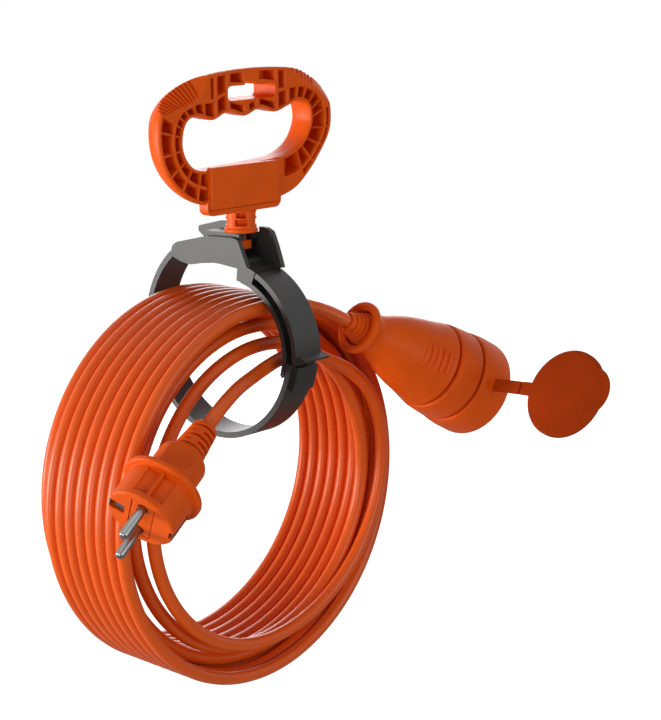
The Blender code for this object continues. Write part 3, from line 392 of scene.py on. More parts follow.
# ------------------------------------------------------------------ finishes
def add(tree, kind, values=None, links=None, **settings):
    """Adds a node with its settings, socket values and links {socket: (node, output)}."""
    made = tree.nodes.new(kind)
    for key, value in settings.items():
        setattr(made, key, value)
    for key, value in (values or {}).items():
        made.inputs[key].default_value = value
    for key, (source, output) in (links or {}).items():
        tree.links.new(source.outputs[output], made.inputs[key])
    return made


def emptied(holder):
    """The node tree of a material or world, with nothing in it."""
    holder.use_nodes = True
    holder.node_tree.nodes.clear()
    return holder.node_tree


def started(name, values):
    """New material's tree, with a Principled shader of these values linked to its output."""
    tree = emptied(bpy.data.materials.new(name))
    shader = add(tree, "ShaderNodeBsdfPrincipled", values)
    add(tree, "ShaderNodeOutputMaterial", links={"Surface": (shader, "BSDF")})
    return tree, shader


def per_metre(size_mm):
    """Noise scale that gives features of this size."""
    return 1000.0 / size_mm


def mottled(tree, shader, noise, colour, darkest, ends):
    """Base colour that drifts with a noise between the colour and a darker shade of it."""
    ramp = add(tree, "ShaderNodeValToRGB", links={"Fac": (noise, "Fac")})
    for stop, position, factor in zip(ramp.color_ramp.elements, ends, (darkest, 1.0)):
        stop.position = position
        stop.color = (*shade(colour, factor), 1)
    tree.links.new(ramp.outputs["Color"], shader.inputs["Base Color"])


def textured(tree, shader, noise, low, high, strength, depth_mm):
    """Roughness from low to high, and a fine relief, which both follow one noise."""
    rough = add(tree, "ShaderNodeMapRange", {"To Min": low, "To Max": high},
                {"Value": (noise, "Fac")})
    bump = add(tree, "ShaderNodeBump", {"Strength": strength, "Distance": depth_mm * MM},
               {"Height": (noise, "Fac")})
    tree.links.new(rough.outputs["Result"], shader.inputs["Roughness"])
    tree.links.new(bump.outputs["Normal"], shader.inputs["Normal"])


def moulded_plastic(name, colour, roughness, grain_mm, grain_depth_mm, lustre, clouds=0.10):
    """Injection-moulded plastic: an even colour with faint flow clouds about 14 mm wide, and the
    fine grain of a spark-eroded mould, which softens the highlights. A low lustre keeps a
    saturated colour from greying at a glance."""
    tree, shader = started(name, {"IOR": 1.49, "Specular IOR Level": lustre})
    place = add(tree, "ShaderNodeTexCoord")
    cloud = add(tree, "ShaderNodeTexNoise", {"Scale": per_metre(14.0), "Detail": 3.0},
                {"Vector": (place, "Object")})
    mottled(tree, shader, cloud, colour, 1 - clouds, (0.3, 0.7))
    grain = add(tree, "ShaderNodeTexNoise", {"Scale": per_metre(grain_mm), "Detail": 2.0},
                {"Vector": (place, "Object")})
    textured(tree, shader, grain, roughness - 0.06, roughness + 0.06, 0.6, grain_depth_mm)


def cord_sheath(name, colour):
    """Extruded PVC: satin, with faint die lines that run along the cord, about 1.5 mm apart round
    it and a hand long, and slow shade changes along the length. Reads the tube's own UV map:
    metres along it, and turns round it."""
    tree, shader = started(name, {"IOR": 1.53, "Specular IOR Level": 0.3})
    run = add(tree, "ShaderNodeUVMap", uv_map="run")
    lines_at = add(tree, "ShaderNodeMapping", {"Scale": (9.0, 15.0, 1.0)}, {"Vector": (run, "UV")})
    lines = add(tree, "ShaderNodeTexNoise", {"Scale": 1.0, "Detail": 2.0},
                {"Vector": (lines_at, "Vector")})
    patch_at = add(tree, "ShaderNodeMapping", {"Scale": (22.0, 2.0, 1.0)}, {"Vector": (run, "UV")})
    patch = add(tree, "ShaderNodeTexNoise", {"Scale": 1.0, "Detail": 2.0},
                {"Vector": (patch_at, "Vector")})
    mottled(tree, shader, patch, colour, 0.88, (0.3, 0.72))
    textured(tree, shader, lines, 0.27, 0.40, 0.35, 0.08)


def turned_metal(name, colour, roughness):
    """Plated or plain metal turned on a lathe: faint marks about 0.9 mm apart, coarser than real
    ones so that they show, which break up its reflections."""
    tree, shader = started(name, {"Metallic": 1.0, "Base Color": (*colour, 1)})
    place = add(tree, "ShaderNodeTexCoord")
    marks = add(tree, "ShaderNodeTexNoise", {"Scale": per_metre(0.9), "Detail": 4.0},
                {"Vector": (place, "Object")})
    textured(tree, shader, marks, roughness - 0.07, roughness + 0.10, 0.2, 0.02)


# each finish: its material, and the slot it goes into
ORANGE_PP = ("moulded polypropylene, satin orange", "orange_pp")
ORANGE_PVC = ("moulded PVC, satin orange", "orange_rubber")
# matte orange of the cap and strap, darkened partly by painted shade
MATTE_PVC_AND_PAINTED_SHADE = ("moulded PVC, matte orange with painted shade", "orange_rubber")
BLACK_PP = ("moulded polypropylene, grained black", "black_pp")
SHEATH = ("extruded PVC sheath, satin orange", "cord_sheath")
# nickel finish: its colour is the plating's grey made darker, a painted darker reflection
NICKEL = ("nickel plate, turned, with painted dark reflection", "nickel")
STEEL = ("nickel plate, turned, with painted dark reflection", "steel")
BRASS = ("brass, plain", "brass")


def finishes():
    """The object's materials, made once."""
    if SHEATH[0] not in bpy.data.materials:
        c = bpy.context.scene.cord_colours
        cord_sheath(SHEATH[0], tuple(c.cord))
        moulded_plastic(ORANGE_PP[0], tuple(c.handle), 0.40, 0.7, 0.05, 0.15)
        moulded_plastic(ORANGE_PVC[0], tuple(c.moulded), 0.42, 0.8, 0.04, 0.15)
        moulded_plastic(MATTE_PVC_AND_PAINTED_SHADE[0], tuple(c.cap), 0.75, 0.5, 0.06, 0.1)
        moulded_plastic(BLACK_PP[0], tuple(c.black), 0.46, 0.55, 0.10, 0.5, clouds=0.2)
        turned_metal(NICKEL[0], tuple(c.nickel), 0.24)
        turned_metal(BRASS[0], tuple(c.brass), 0.32)
    return bpy.data.materials


def settle(obj, body, finish, nodes, crease=35.0):
    """Gives a finished piece its material and body, hides the CAD nodes that it stands for, and
    gives it smooth shading, save where its faces meet at more than `crease` degrees."""
    mesh = obj.data
    mesh.materials.clear()
    mesh.materials.append(finishes()[finish[0]])
    mesh.polygons.foreach_set("material_index", [0] * len(mesh.polygons))
    mesh.polygons.foreach_set("use_smooth", [True] * len(mesh.polygons))
    mesh.set_sharp_from_angle(angle=math.radians(crease))
    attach(obj, body)
    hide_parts(*nodes)


# ------------------------------------------------------------------ cord
def coil_points():
    """Winding: the angle grows with the turn count, the radius follows the two layers and the
    slack last turns, and Y steps one pitch a turn, away from the near side and back."""
    turn = np.arange(int(TOTAL_TURNS * POINTS_PER_TURN) + 1) / POINTS_PER_TURN
    climb = np.clip((turn - OUTER_TURNS) / CLIMB_TURNS, 0, 1)
    radius = R_OUTER - PITCH * climb ** 2 * (3 - 2 * climb)
    for (t0, r0), (t1, r1) in zip(SLACK, SLACK[1:]):
        t = np.clip((turn - t0) / (t1 - t0), 0, 1)
        radius = np.where(turn > t0, r0 + (r1 - r0) * t ** 2 * (3 - 2 * t), radius)
    far = COIL_NEAR_Y + OUTER_TURNS * PITCH
    climbing = far + CLIMB_BULGE * np.sin(math.pi * climb) + LAYER_SHIFT * climb
    inner = far + LAYER_SHIFT - (turn - OUTER_TURNS - CLIMB_TURNS) * PITCH
    y = np.where(climb < 1, climbing, np.maximum(inner, INNER_NEAR_Y))
    y = np.where(turn <= OUTER_TURNS, COIL_NEAR_Y + turn * PITCH, y)
    a = np.radians(START_DEG + 360.0 * turn)
    return np.stack([COIL_X + radius * np.cos(a), y + RING_Y,
                     COIL_Z + RING_Z + radius * np.sin(a)], 1)


def cord_route(diameter):
    """Whole centreline from inside the socket's sleeve, round the coil, to inside the plug's."""
    coil = coil_points()
    leave = coil[0] - coil[1]
    leave /= np.linalg.norm(leave)
    arrive = coil[-1] - coil[-2]
    arrive /= np.linalg.norm(arrive)
    socket, plug = ring(*SOCKET_MOUTH), ring(*PLUG_MOUTH)
    into_socket = np.array(Vector(SOCKET_AXIS).normalized())
    into_plug = np.array(Vector(PLUG_AXIS).normalized())
    near = diameter / MM
    far = 2 * near + GAP
    keys = [socket + into_socket * CORD_IN_SOCKET, socket + into_socket * 7.5, socket,
            ring(36.0, -42.9, 11.6), ring(28.5, -38.4, 15.2), ring(21.0, -34.0, 17.9),
            coil[0] + leave * far, coil[0] + leave * near]
    keys += list(coil)
    keys += [coil[-1] + arrive * near, coil[-1] + arrive * far,
             ring(2.0, -37.8, -7.4), ring(-10.0, -39.8, -9.0), ring(-25.0, -43.2, -11.6),
             ring(-42.0, -47.9, -14.8), plug - into_plug * 9.0, plug, plug + into_plug * 9.0,
             plug + into_plug * CORD_IN_PLUG]
    return hermite(keys, 12)


def tube(name, path, radius, sides):
    """Round tube: at each path point a circle square to the path, its first point turned towards
    +Y, which the cord never runs along. Both ends close in a small dome of three rows, whose
    last has no width."""
    tangent = np.gradient(path, axis=0)
    tangent /= np.linalg.norm(tangent, axis=1, keepdims=True)
    up = np.array([0.0, 1.0, 0.0]) - tangent * tangent[:, 1:2]
    up /= np.linalg.norm(up, axis=1, keepdims=True)
    side = np.cross(tangent, up)
    past, width = np.array([1.2, 1.0, 0.5]), np.array([0.0, 0.6, 0.9])
    size = np.concatenate([width, np.ones(len(path)), width[::-1]]) * radius
    path = np.vstack([path[:1] - tangent[:1] * past[:, None], path,
                      path[-1:] + tangent[-1:] * past[::-1, None]])
    up, side = (np.vstack([v[:1]] * 3 + [v] + [v[-1:]] * 3) for v in (up, side))
    a = np.linspace(0, 2 * math.pi, sides, endpoint=False)
    circle = up[:, None] * np.cos(a)[None, :, None] + side[:, None] * np.sin(a)[None, :, None]
    points = path[:, None] + circle * size[:, None, None]
    return new_object(name, points, grid_faces(len(path), sides))


def map_run(mesh, sides, metres):
    """UV map of a tube made row by row: metres along, and turns round. A face over the seam
    reaches turn 1, so the pattern stays unstretched. Each end row is one merged point."""
    corner = np.empty(len(mesh.loops), int)
    mesh.loops.foreach_get("vertex_index", corner)
    row, column = (corner - 1) // sides + 1, (corner - 1) % sides
    total = np.empty(len(mesh.polygons), int)
    mesh.polygons.foreach_get("loop_total", total)
    face = np.repeat(np.arange(len(total)), total)
    highest = np.zeros(len(total), int)
    np.maximum.at(highest, face, column)
    around = np.where((column == 0) & (highest[face] == sides - 1), sides, column) / sides
    run = np.column_stack([metres[row], around]).astype(np.float32)
    mesh.uv_layers.new(name="run").data.foreach_set("uv", run.ravel())


class CORD_OT_wound_cord(bpy.types.Operator):
    """Builds the whole cord as one tube along its route"""
    bl_idname = "cord.wound_cord"
    bl_label = "Wound cord"

    def execute(self, context):
        s = context.scene.cord_sizes
        path, run = evenly(cord_route(s.diameter), s.spacing / MM)
        obj = tube("cord_wound", path, s.diameter / 2 / MM, s.sides)
        map_run(obj.data, s.sides, np.pad(run, 3, "edge") * MM)
        settle(obj, "carrier", SHEATH, ["cord_coil", "cord_to_socket", "cord_to_plug"], 80.0)
        return {'FINISHED'}


# ------------------------------------------------------------------ handle
OUTER_KEYS = [(62.5, -22.0), (60.5, -12.0), (53.0, -2.5), (38.0, 4.2), (14.0, 6.6), (-14.0, 6.2),
              (-36.0, 3.4), (-52.0, -2.5), (-61.5, -11.0), (-64.5, -22.0), (-63.0, -35.0),
              (-57.0, -46.5), (-47.0, -55.5), (-34.0, -61.0), (-15.0, -63.5), (12.0, -63.5),
              (32.0, -59.5), (45.5, -50.0), (55.5, -39.0), (61.0, -30.5)]
INNER_KEYS = [(46.0, -22.0), (43.5, -14.5), (36.0, -12.0), (28.0, -14.6), (18.5, -17.0),
              (7.5, -14.2), (-4.0, -17.6), (-15.5, -14.6), (-27.0, -18.2), (-37.0, -15.6),
              (-44.5, -17.5), (-48.0, -24.5), (-47.5, -33.0), (-42.0, -40.5), (-33.0, -43.4),
              (-15.0, -43.0), (12.0, -41.8), (28.0, -40.0), (38.5, -35.0), (44.0, -28.5)]
SPINE = ((-33.0, -29.0), (31.0, -28.0))
# ribs across the bar, as stations: for the outer and the inner row, runs with a cell between
# each rib and the next
RIBS = (((17.4, 18.9, 21.6), (23.1, 25.4, 27.3, 28.4), (41.2, 44.8, 49.8, 54.5, 58.7, 63.3, 66.0),
         (83.0, 86.5, 90.6, 96.8, 103.1)),
        ((6.4, 9.4, 12.5, 15.0, 17.2, 18.9, 21.6, 22.9),
         (23.1, 25.4, 27.3, 29.4, 32.4, 35.4, 38.3, 41.2, 44.8, 49.8, 54.5, 58.7, 63.3, 66.0),
         (77.9, 83.0, 86.5, 90.6, 96.8, 103.1, 106.4)))
CELLS = [(row, start, end) for row, runs in enumerate(RIBS) for run in runs
         for start, end in zip(run, run[1:])]
SLOT_STATIONS = (18.9, 25.4)
# middle wall between the two cell rows: station, share of the bar's width
MIDDLE = ((0, 0.28), (6, 0.32), (12, 0.46), (18, 0.54), (26, 0.54), (30, 0.62), (41, 0.64),
          (50, 0.60), (60, 0.52), (66, 0.50), (78, 0.42), (84, 0.30), (90, 0.26), (100, 0.28))
# knurled shoulders: station, width of the sloped surface in millimetres
LENS = ((3.4, 0.0), (4.4, 1.6), (7.0, 3.8), (10.0, 5.1), (12.8, 5.2), (15.9, 2.8), (17.4, 0.0),
        (28.5, 0.0), (28.9, 3.6), (29.3, 6.4), (30.0, 9.4), (32.0, 11.2), (34.7, 10.7),
        (37.0, 8.8), (39.0, 6.1), (40.6, 2.4), (41.2, 0.0))
# grooves across them: first station, pitch in millimetres, how many
GROOVES_OF_LENS = ((10.9, 3.4, 6), (30.2, 2.95, 12))
KEY_STATIONS = 5
STATIONS = 100
STATION_MM = 3.4
RIB_MM = 0.5
RIM_MM = 1.5
# wall of a cell: distance in from the rib's middle or the rim, and share of the depth
WALL = ((0.0, 0.0), (0.22, 0.01), (0.42, 0.06), (0.58, 0.22), (0.85, 1.0))


def loop_curve(keys, at):
    """Closed smooth curve through the keys, read at stations, KEY_STATIONS of them to a span: in
    each span a cubic, whose slope at a key is half the chord between the key's neighbours."""
    p = np.asarray(keys, float)
    span = np.floor(at / KEY_STATIONS).astype(int)
    t = (at / KEY_STATIONS - span)[:, None]
    a, b, c, d = (p[(span + k) % len(p)] for k in (-1, 0, 1, 2))
    return 0.5 * (2 * b + (c - a) * t + (2 * a - 5 * b + 4 * c - d) * t ** 2
                  + (3 * b - a - 3 * c + d) * t ** 3)


def handle_loops(at):
    """Outer loop at the stations, and straight across the bar from each the inner loop: where the
    ray from the opening's middle line through the outer point crosses it."""
    outer = loop_curve(OUTER_KEYS, at)
    fine = loop_curve(INNER_KEYS, np.arange(0, STATIONS, 1 / 12))
    a, b = (np.array(p) for p in SPINE)
    share = np.clip((outer - a) @ (b - a) / ((b - a) @ (b - a)), 0, 1)[:, None]
    base = a + (b - a) * share
    ray = outer - base
    step = np.roll(fine, -1, axis=0) - fine
    cross = ray[:, :1] * step[None, :, 1] - ray[:, 1:] * step[None, :, 0]
    rel = fine[None] - base[:, None]
    along = (rel[..., 0] * step[None, :, 1] - rel[..., 1] * step[None, :, 0]) / cross
    part = (rel[..., 0] * ray[:, 1:] - rel[..., 1] * ray[:, :1]) / cross
    along = np.where((part >= 0) & (part <= 1) & (along > 0), along, np.inf).min(axis=1)
    return outer, base + ray * along[:, None]


def handle_stations():
    """Station numbers: every quarter all round, closer over the grooves, and at every cell's end
    the lines of its wall."""
    wall = (np.array([w[0] for w in WALL]) + RIB_MM) / STATION_MM
    lines = np.concatenate([np.concatenate([start + wall, end - wall]) for _, start, end in CELLS])
    lines = np.round(lines % STATIONS, 4)
    fill = [np.arange(0, STATIONS, 0.25)]
    fill += [np.arange(first, first + pitch * count / STATION_MM, pitch / STATION_MM / 10)
             for first, pitch, count in GROOVES_OF_LENS]
    fill = np.concatenate(fill)
    fill = fill[np.abs(fill[:, None] - lines[None]).min(axis=1) > 0.03]
    at = np.unique(np.concatenate([lines, np.round(fill, 4)]))
    return at[np.diff(at, prepend=-1.0) > 0.004]


def wall_share(inside_mm):
    """How deep a cell is at this distance inside its rim, as a share of its depth."""
    return np.interp(inside_mm, *zip(*WALL))


def groove_share(at):
    """Pulses from 0 to 1 across the knurled shoulders, half a pitch wide, with short slopes."""
    share = np.zeros(len(at))
    for first, pitch, count in GROOVES_OF_LENS:
        phase = (at - first) * STATION_MM / pitch
        pulse = np.clip((0.31 - np.abs(phase % 1.0 - 0.5)) / 0.12, 0, 1)
        share = np.where((phase > 0) & (phase < count), pulse, share)
    return share


# sections of the inner side and of the back with the outer side: Y, and inset from the loop
INNER_SIDE = np.array([(-7.74, 0.26), (-7.1, 0.0), (-3.0, 0.0), (1.0, 0.05), (5.2, 0.4), (6.6, 1.0),
                       (7.6, 2.0), (8.0, 3.2)])
OUTER_SIDE = np.array([(8.0, 9.0), (7.7, 7.9), (7.0, 6.9), (6.2, 6.0), (4.9, 4.6), (3.4, 3.3),
                       (1.9, 2.3), (0.6, 1.6), (-0.8, 1.0), (-2.2, 0.55), (-3.6, 0.22),
                       (-5.0, 0.05), (-6.4, 0.0), (-7.2, 0.12), (-7.75, 0.4)])
# lines along the front face in each row of cells: its two walls and its middle
ROW_LINES = 2 * len(WALL) + 1


def cell_front(at, width, lens):
    """Front face: distance across the bar and Y of its lines. Cells sink to their row's floor
    where both the distance from their end ribs and from their rims is large enough."""
    slot = (at > SLOT_STATIONS[0]) & (at < SLOT_STATIONS[1])
    middle = np.interp(at, *zip(*MIDDLE)) * width
    rows = [(np.full(len(at), RIM_MM), np.where(slot, 0.31 * width, middle - 0.55)),
            (np.where(slot, 0.76 * width, np.maximum(middle + 0.55, lens[:, 0] + 0.9)),
             width - 1.3)]
    wall = np.array([w[0] for w in WALL])
    lines = [np.full((len(at), 1), 0.9)]
    for low, high in rows:
        low, high = low[:, None], np.maximum(high, low + 1.9)[:, None]
        lines += [low + wall, (low + high) / 2, high - wall[::-1]]
    lines += [width[:, None] - 0.8]
    columns = np.maximum.accumulate(np.hstack(lines), axis=1)
    rim = wall_share(wall)
    across = np.concatenate([[0.0], rim, [1.0], rim[::-1], rim, [1.0], rim[::-1], [0.0]])
    row_of = np.repeat([2, 0, 1, 2], [1, ROW_LINES, ROW_LINES, 1])
    along = np.zeros((len(at), 3))
    for row, start, end in CELLS:
        for turn in (0, STATIONS):
            inside = np.minimum(at + turn - start, end - at - turn) * STATION_MM - RIB_MM
            along[:, row] = np.maximum(along[:, row], wall_share(inside))
    depth = np.minimum(across[None, :], along[:, row_of])
    floor = np.array([OUTER_FLOOR_Y, CELL_FLOOR_Y, 0.0])[row_of]
    return columns, -HALF_Y + (floor + HALF_Y) * depth


def handle_mesh(knurl):
    """Closed loop whose section is carried round: the front face, a flat inner side, and an outer
    side that rounds away to the back. Along a shoulder the front's outer part slopes back to
    the outer side, lower the nearer it is, with grooves across it."""
    at = handle_stations()
    outer, inner = handle_loops(at)
    width = np.linalg.norm(inner - outer, axis=1)
    across = (inner - outer) / width[:, None]
    lens = np.interp(at, *zip(*LENS))[:, None]
    columns, front_y = cell_front(at, width, lens)

    groove = groove_share(at)[:, None] * np.clip(lens / 2.5, 0, 1) * knurl
    drop = np.minimum(0.72 * lens, 6.2)
    sloped = lens > 0.3
    edge_y = -HALF_Y + drop + groove
    side_y = np.broadcast_to(OUTER_SIDE[:, 0], (len(at), len(OUTER_SIDE)))
    side_y = np.where(sloped & (side_y < edge_y), edge_y + (side_y - edge_y) * 0.004, side_y)
    inset = np.interp(side_y, OUTER_SIDE[::-1, 0], OUTER_SIDE[::-1, 1])
    inset = np.where(sloped, inset, OUTER_SIDE[:, 1])
    start = inset[:, -1:] + 0.1
    u = np.linspace(0, 1, ROW_LINES + 1)[None]
    slope = start + (np.maximum(lens, start + 0.1) - start) * u
    slope_y = -HALF_Y + drop * (1 - u) ** 1.15 + groove * np.clip((0.95 - u) / 0.1, 0, 1)
    outer_part = np.s_[:, :ROW_LINES + 1]
    columns[outer_part] = np.where(sloped, slope, columns[outer_part])
    front_y[outer_part] = np.where(sloped, slope_y, front_y[outer_part])

    def carried(edge, inward, y):
        """Points of a stretch of the section, from an edge loop towards the other."""
        y = np.broadcast_to(y, (len(at), y.shape[-1]))
        return np.stack([edge[:, :1] + across[:, :1] * inward, y,
                         edge[:, 1:] + across[:, 1:] * inward], -1)

    points = np.concatenate([carried(outer, columns, front_y),
                             carried(inner, -INNER_SIDE[:, 1], INNER_SIDE[:, 0]),
                             carried(outer, inset, side_y)], axis=1)
    return points, grid_faces(points.shape[0], points.shape[1], True)


class CORD_OT_handle(bpy.types.Operator):
    """Builds the ribbed carrying handle with its hang slot and the shelf over the neck"""
    bl_idname = "cord.handle"
    bl_label = "Handle"

    def execute(self, context):
        points, faces = handle_mesh(context.scene.cord_shapes.knurl / MM)
        body = new_object("handle_grip", points, faces)
        (x0, x1), foot = PLATE_X, -HANDLE_FOOT
        shelf = soften([(x0 - 2.0, foot + 2.3), (x0 + 0.5, foot), (x1 - 0.5, foot),
                        (x1 + 2.0, foot + 2.3), (x1 + 2.0, foot + 8.8), (x0 - 2.0, foot + 8.8)], 1.6)
        join(body, prism("shelf", shelf, -HALF_Y - 1.6, -HALF_Y + 4.6, FRONT))
        boss = lathe("boss", [(0, foot), (NECK_R + 0.6, foot), (NECK_R + 1.4, foot + 1.0),
                              (NECK_R + 1.4, foot + 6.0), (0, foot + 6.0)], Matrix(), 64)
        join(body, boss)
        pocket = [(x0 - GAP, PLATE_Z[0] - GAP), (x1 + GAP, PLATE_Z[0] - GAP),
                  (x1 + GAP, PLATE_Z[1] + 9.0), (x0 - GAP, PLATE_Z[1] + 9.0)]
        cut(body, prism("pocket", pocket, -20, -HALF_Y + 1.5, FRONT))
        (x0, x1), (z0, z1) = SLOT_X, SLOT_Z
        slot = soften([(x0, z0 + 1.2), (x0 + 1.6, z0), (x1 - 1.6, z0), (x1, z0 + 1.2),
                       (x1, z1 - 1.2), (x1 - 1.6, z1), (NOTCH + 1.0, z1), (NOTCH, 0.0),
                       (-NOTCH, 0.0), (-NOTCH - 1.0, z1), (x0 + 1.6, z1), (x0, z1 - 1.2)], 0.9)
        cut(body, prism("slot", slot, -20, 20, FRONT))
        settle(body, "handle", ORANGE_PP, ["handle_frame"], 30.0)
        return {'FINISHED'}


class CORD_OT_plate(bpy.types.Operator):
    """Builds the plain plate let into the front of the lower bar"""
    bl_idname = "cord.plate"
    bl_label = "Plate"

    def execute(self, context):
        (x0, x1), (z0, z1) = PLATE_X, PLATE_Z
        outline = soften([(x0, z0), (x1, z0), (x1, z1), (x0, z1)], 1.2)
        plate = prism("front_plate", outline, -HALF_Y - 2.6, -HALF_Y + 1.2, FRONT)
        round_edges(plate, 0.0007, 3)
        settle(plate, "handle", ORANGE_PP, ["name_plate"])
        return {'FINISHED'}


class CORD_OT_neck(bpy.types.Operator):
    """Builds the swivel neck with its windows, flange, thin stem and T head"""
    bl_idname = "cord.neck"
    bl_label = "Swivel neck"

    def execute(self, context):
        top, flange = -HANDLE_FOOT - GAP, RING_Z + DECK_TOP + GAP
        head = RING_Z + DECK_TOP - DECK_T - 1.0
        profile = [(0, head - 1.0), (STEM_R, head - 1.0), (STEM_R, flange - 0.3),
                   (STEM_R + 0.3, flange), (NECK_FLANGE_R - 0.5, flange),
                   (NECK_FLANGE_R, flange + 0.5), (NECK_FLANGE_R, flange + 1.9),
                   (NECK_FLANGE_R - 0.5, flange + 2.4), (NECK_R, flange + 2.6), (NECK_R, top - 0.3),
                   (NECK_R - 0.3, top), (0, top)]
        stem = lathe("swivel_neck", profile, Matrix(), 72)
        join(stem, block("head", (-4.2, -3.6, head - 4.6), (4.2, 3.6, head), Matrix()))
        low = flange + 4.0
        mid = (low + top) / 2 - 0.4
        for k in range(4):
            turn = turned(Matrix(), 45 + 90 * k)
            cut(stem, block("window", (4.4, -3.2, low), (20, 3.2, mid - 0.5), turn))
            cut(stem, block("window", (4.4, -2.6, mid + 0.5), (20, 2.6, top - 1.2), turn))
        round_edges(stem, 0.00025, 2)
        settle(stem, "handle", ORANGE_PP, ["swivel_stem"])
        return {'FINISHED'}


# ------------------------------------------------------------------ clip
def arc(radius, deg0, deg1, steps, centre=(0.0, 0.0)):
    """Points of an arc about a centre."""
    a = np.radians(np.linspace(deg0, deg1, steps))
    return np.column_stack([centre[0] + radius * np.cos(a), centre[1] + radius * np.sin(a)])


def band(r_in, r_out, deg0, deg1, steps, centre=(0.0, 0.0)):
    """Closed outline of a strip between two arcs about one centre."""
    return np.vstack([arc(r_in, deg0, deg1, steps, centre), arc(r_out, deg1, deg0, steps, centre)])


def pin_bore():
    """Hole for the jaw's pin, turned a little so that its facets don't lie in other ones."""
    return rod("bore", 1.8, -30, 30, HINGE @ Matrix.Rotation(0.04, 4, 'Z'), 32)


def clip_sides():
    """The block's two side plates, with the deck and the web between them."""
    x, xi = BAND_HALF_X, PLATE_IN_X
    under = [(-24.5, 37.8), (-18.0, 38.8), (-11.8, 39.4), (-4.0, 40.0), (1.6, 40.0),
             (10.5, 38.8), (19.2, 37.0), (26.0, 37.9), (32.4, 39.7)]
    front = soften(under + [(33.8, 43.3), (33.0, 46.0), (29.8, 48.2), (6.6, 53.9),
                            (-12.0, 54.9), (-16.4, 54.3)], 1.0)
    back = soften([(-33.0, 39.2)] + under + [(33.8, 43.3), (29.5, 47.4), (25.0, 49.6),
                                             (29.6, 52.6), (29.2, 55.4), (11.6, 60.0),
                                             (-21.0, 59.4), (-25.4, 57.6), (-28.6, 51.0)], 1.0)
    body = prism("clip_block", front, -x, -xi, RING)
    join(body, prism("back", back, xi, x, RING))
    join(body, block("deck", (-xi - 0.5, -15.6, DECK_TOP - DECK_T), (xi + 0.5, 8.0, DECK_TOP),
                     RING))
    join(body, block("web", (-xi - 0.5, -19.0, 41.2), (xi + 0.5, 14.0, 43.6), RING))
    return body


def add_finger(body):
    """Joins the inner finger: it hangs from the block's near end, parallel to the latch arm, and
    its tip lies along the inside of the jaw."""
    x = BAND_HALF_X
    root = np.vstack([arc(FINGER_R[0] + 0.4, 96.0, 112.2, 8, ARM_C),
                      arc(ARM_R[1], 112.2, 96.0, 8, ARM_C)])
    join(body, prism("root", root, -x, x, RING))
    finger = np.vstack([arc(FINGER_R[0], 101.0, 176.0, 40, ARM_C),
                        arc(JAW_R_IN - GAP - 2.7, 183.5, FINGER_TIP_DEG - 1.2, 10),
                        arc(JAW_R_IN - GAP - 1.4, FINGER_TIP_DEG + 0.2, FINGER_TIP_DEG + 0.4, 2),
                        arc(JAW_R_IN - GAP - 0.1, FINGER_TIP_DEG - 0.8, 183.5, 10),
                        arc(FINGER_R[1], 176.0, 101.0, 40, ARM_C)])
    join(body, prism("finger", finger, -x, x, RING))


def far_arm():
    """Fixed far side of the ring, with the outer parts of the hinge's knuckle."""
    x = BAND_HALF_X
    far = prism("far_arm", band(JAW_R_IN, JAW_R_OUT, 55.0, HINGE_DEG, 45), -x + 0.1, x - 0.1,
                RING)
    join(far, rod("knuckle", KNUCKLE_R, -x - 0.2, x + 0.2, HINGE))
    cut(far, pin_bore())
    cut(far, block("knuckle_room", (-PLATE_IN_X, HINGE_Y - 7.0, HINGE_Z - 8.0),
                   (PLATE_IN_X, HINGE_Y + 7.0, HINGE_Z + KNUCKLE_R + 0.5), RING))
    return far


class CORD_OT_clip_block(bpy.types.Operator):
    """Builds the clip's top block, inner finger and fixed far side"""
    bl_idname = "cord.clip_block"
    bl_label = "Clip block"

    def execute(self, context):
        body = clip_sides()
        add_finger(body)
        cut(body, block("stem_slot", (-STEM_R - GAP, -40.0, DECK_TOP - 6.0),
                        (STEM_R + GAP, -10.0 + STEM_R + GAP, DECK_TOP + 2.0), RING))
        cut(body, block("flange_room", (-20.0, -16.6, DECK_TOP), (20.0, -3.4, DECK_TOP + 9.0), RING))
        join(body, far_arm())
        round_edges(body, context.scene.cord_shapes.edge)
        settle(body, "carrier", BLACK_PP, ["clip_body"])
        return {'FINISHED'}


class CORD_OT_latch(bpy.types.Operator):
    """Builds the springy latch arm with its thumb lip"""
    bl_idname = "cord.latch"
    bl_label = "Latch arm"

    def execute(self, context):
        x = BAND_HALF_X
        arm = prism("latch_band", band(*ARM_R, *ARM_DEG, 48, ARM_C), -x, x, RING)
        lip = np.vstack([arc(ARM_R[1] - 1.0, 176.5, 182.0, 6, ARM_C),
                         [(LIP_END + 0.3, -4.8), (LIP_END, -4.3), (LIP_END, -3.6)]])
        join(arm, prism("lip", lip, -x + 1.5, x, RING))
        catch = np.vstack([arc(ARM_R[0] - 0.5, 178.4, 180.6, 3, ARM_C),
                           arc(ARM_R[0] + 0.8, 180.6, 177.4, 3, ARM_C)])
        join(arm, prism("catch", catch, -5.0, 5.0, RING))
        round_edges(arm, context.scene.cord_shapes.edge)
        settle(arm, "latch", BLACK_PP, ["latch_arm"])
        return {'FINISHED'}


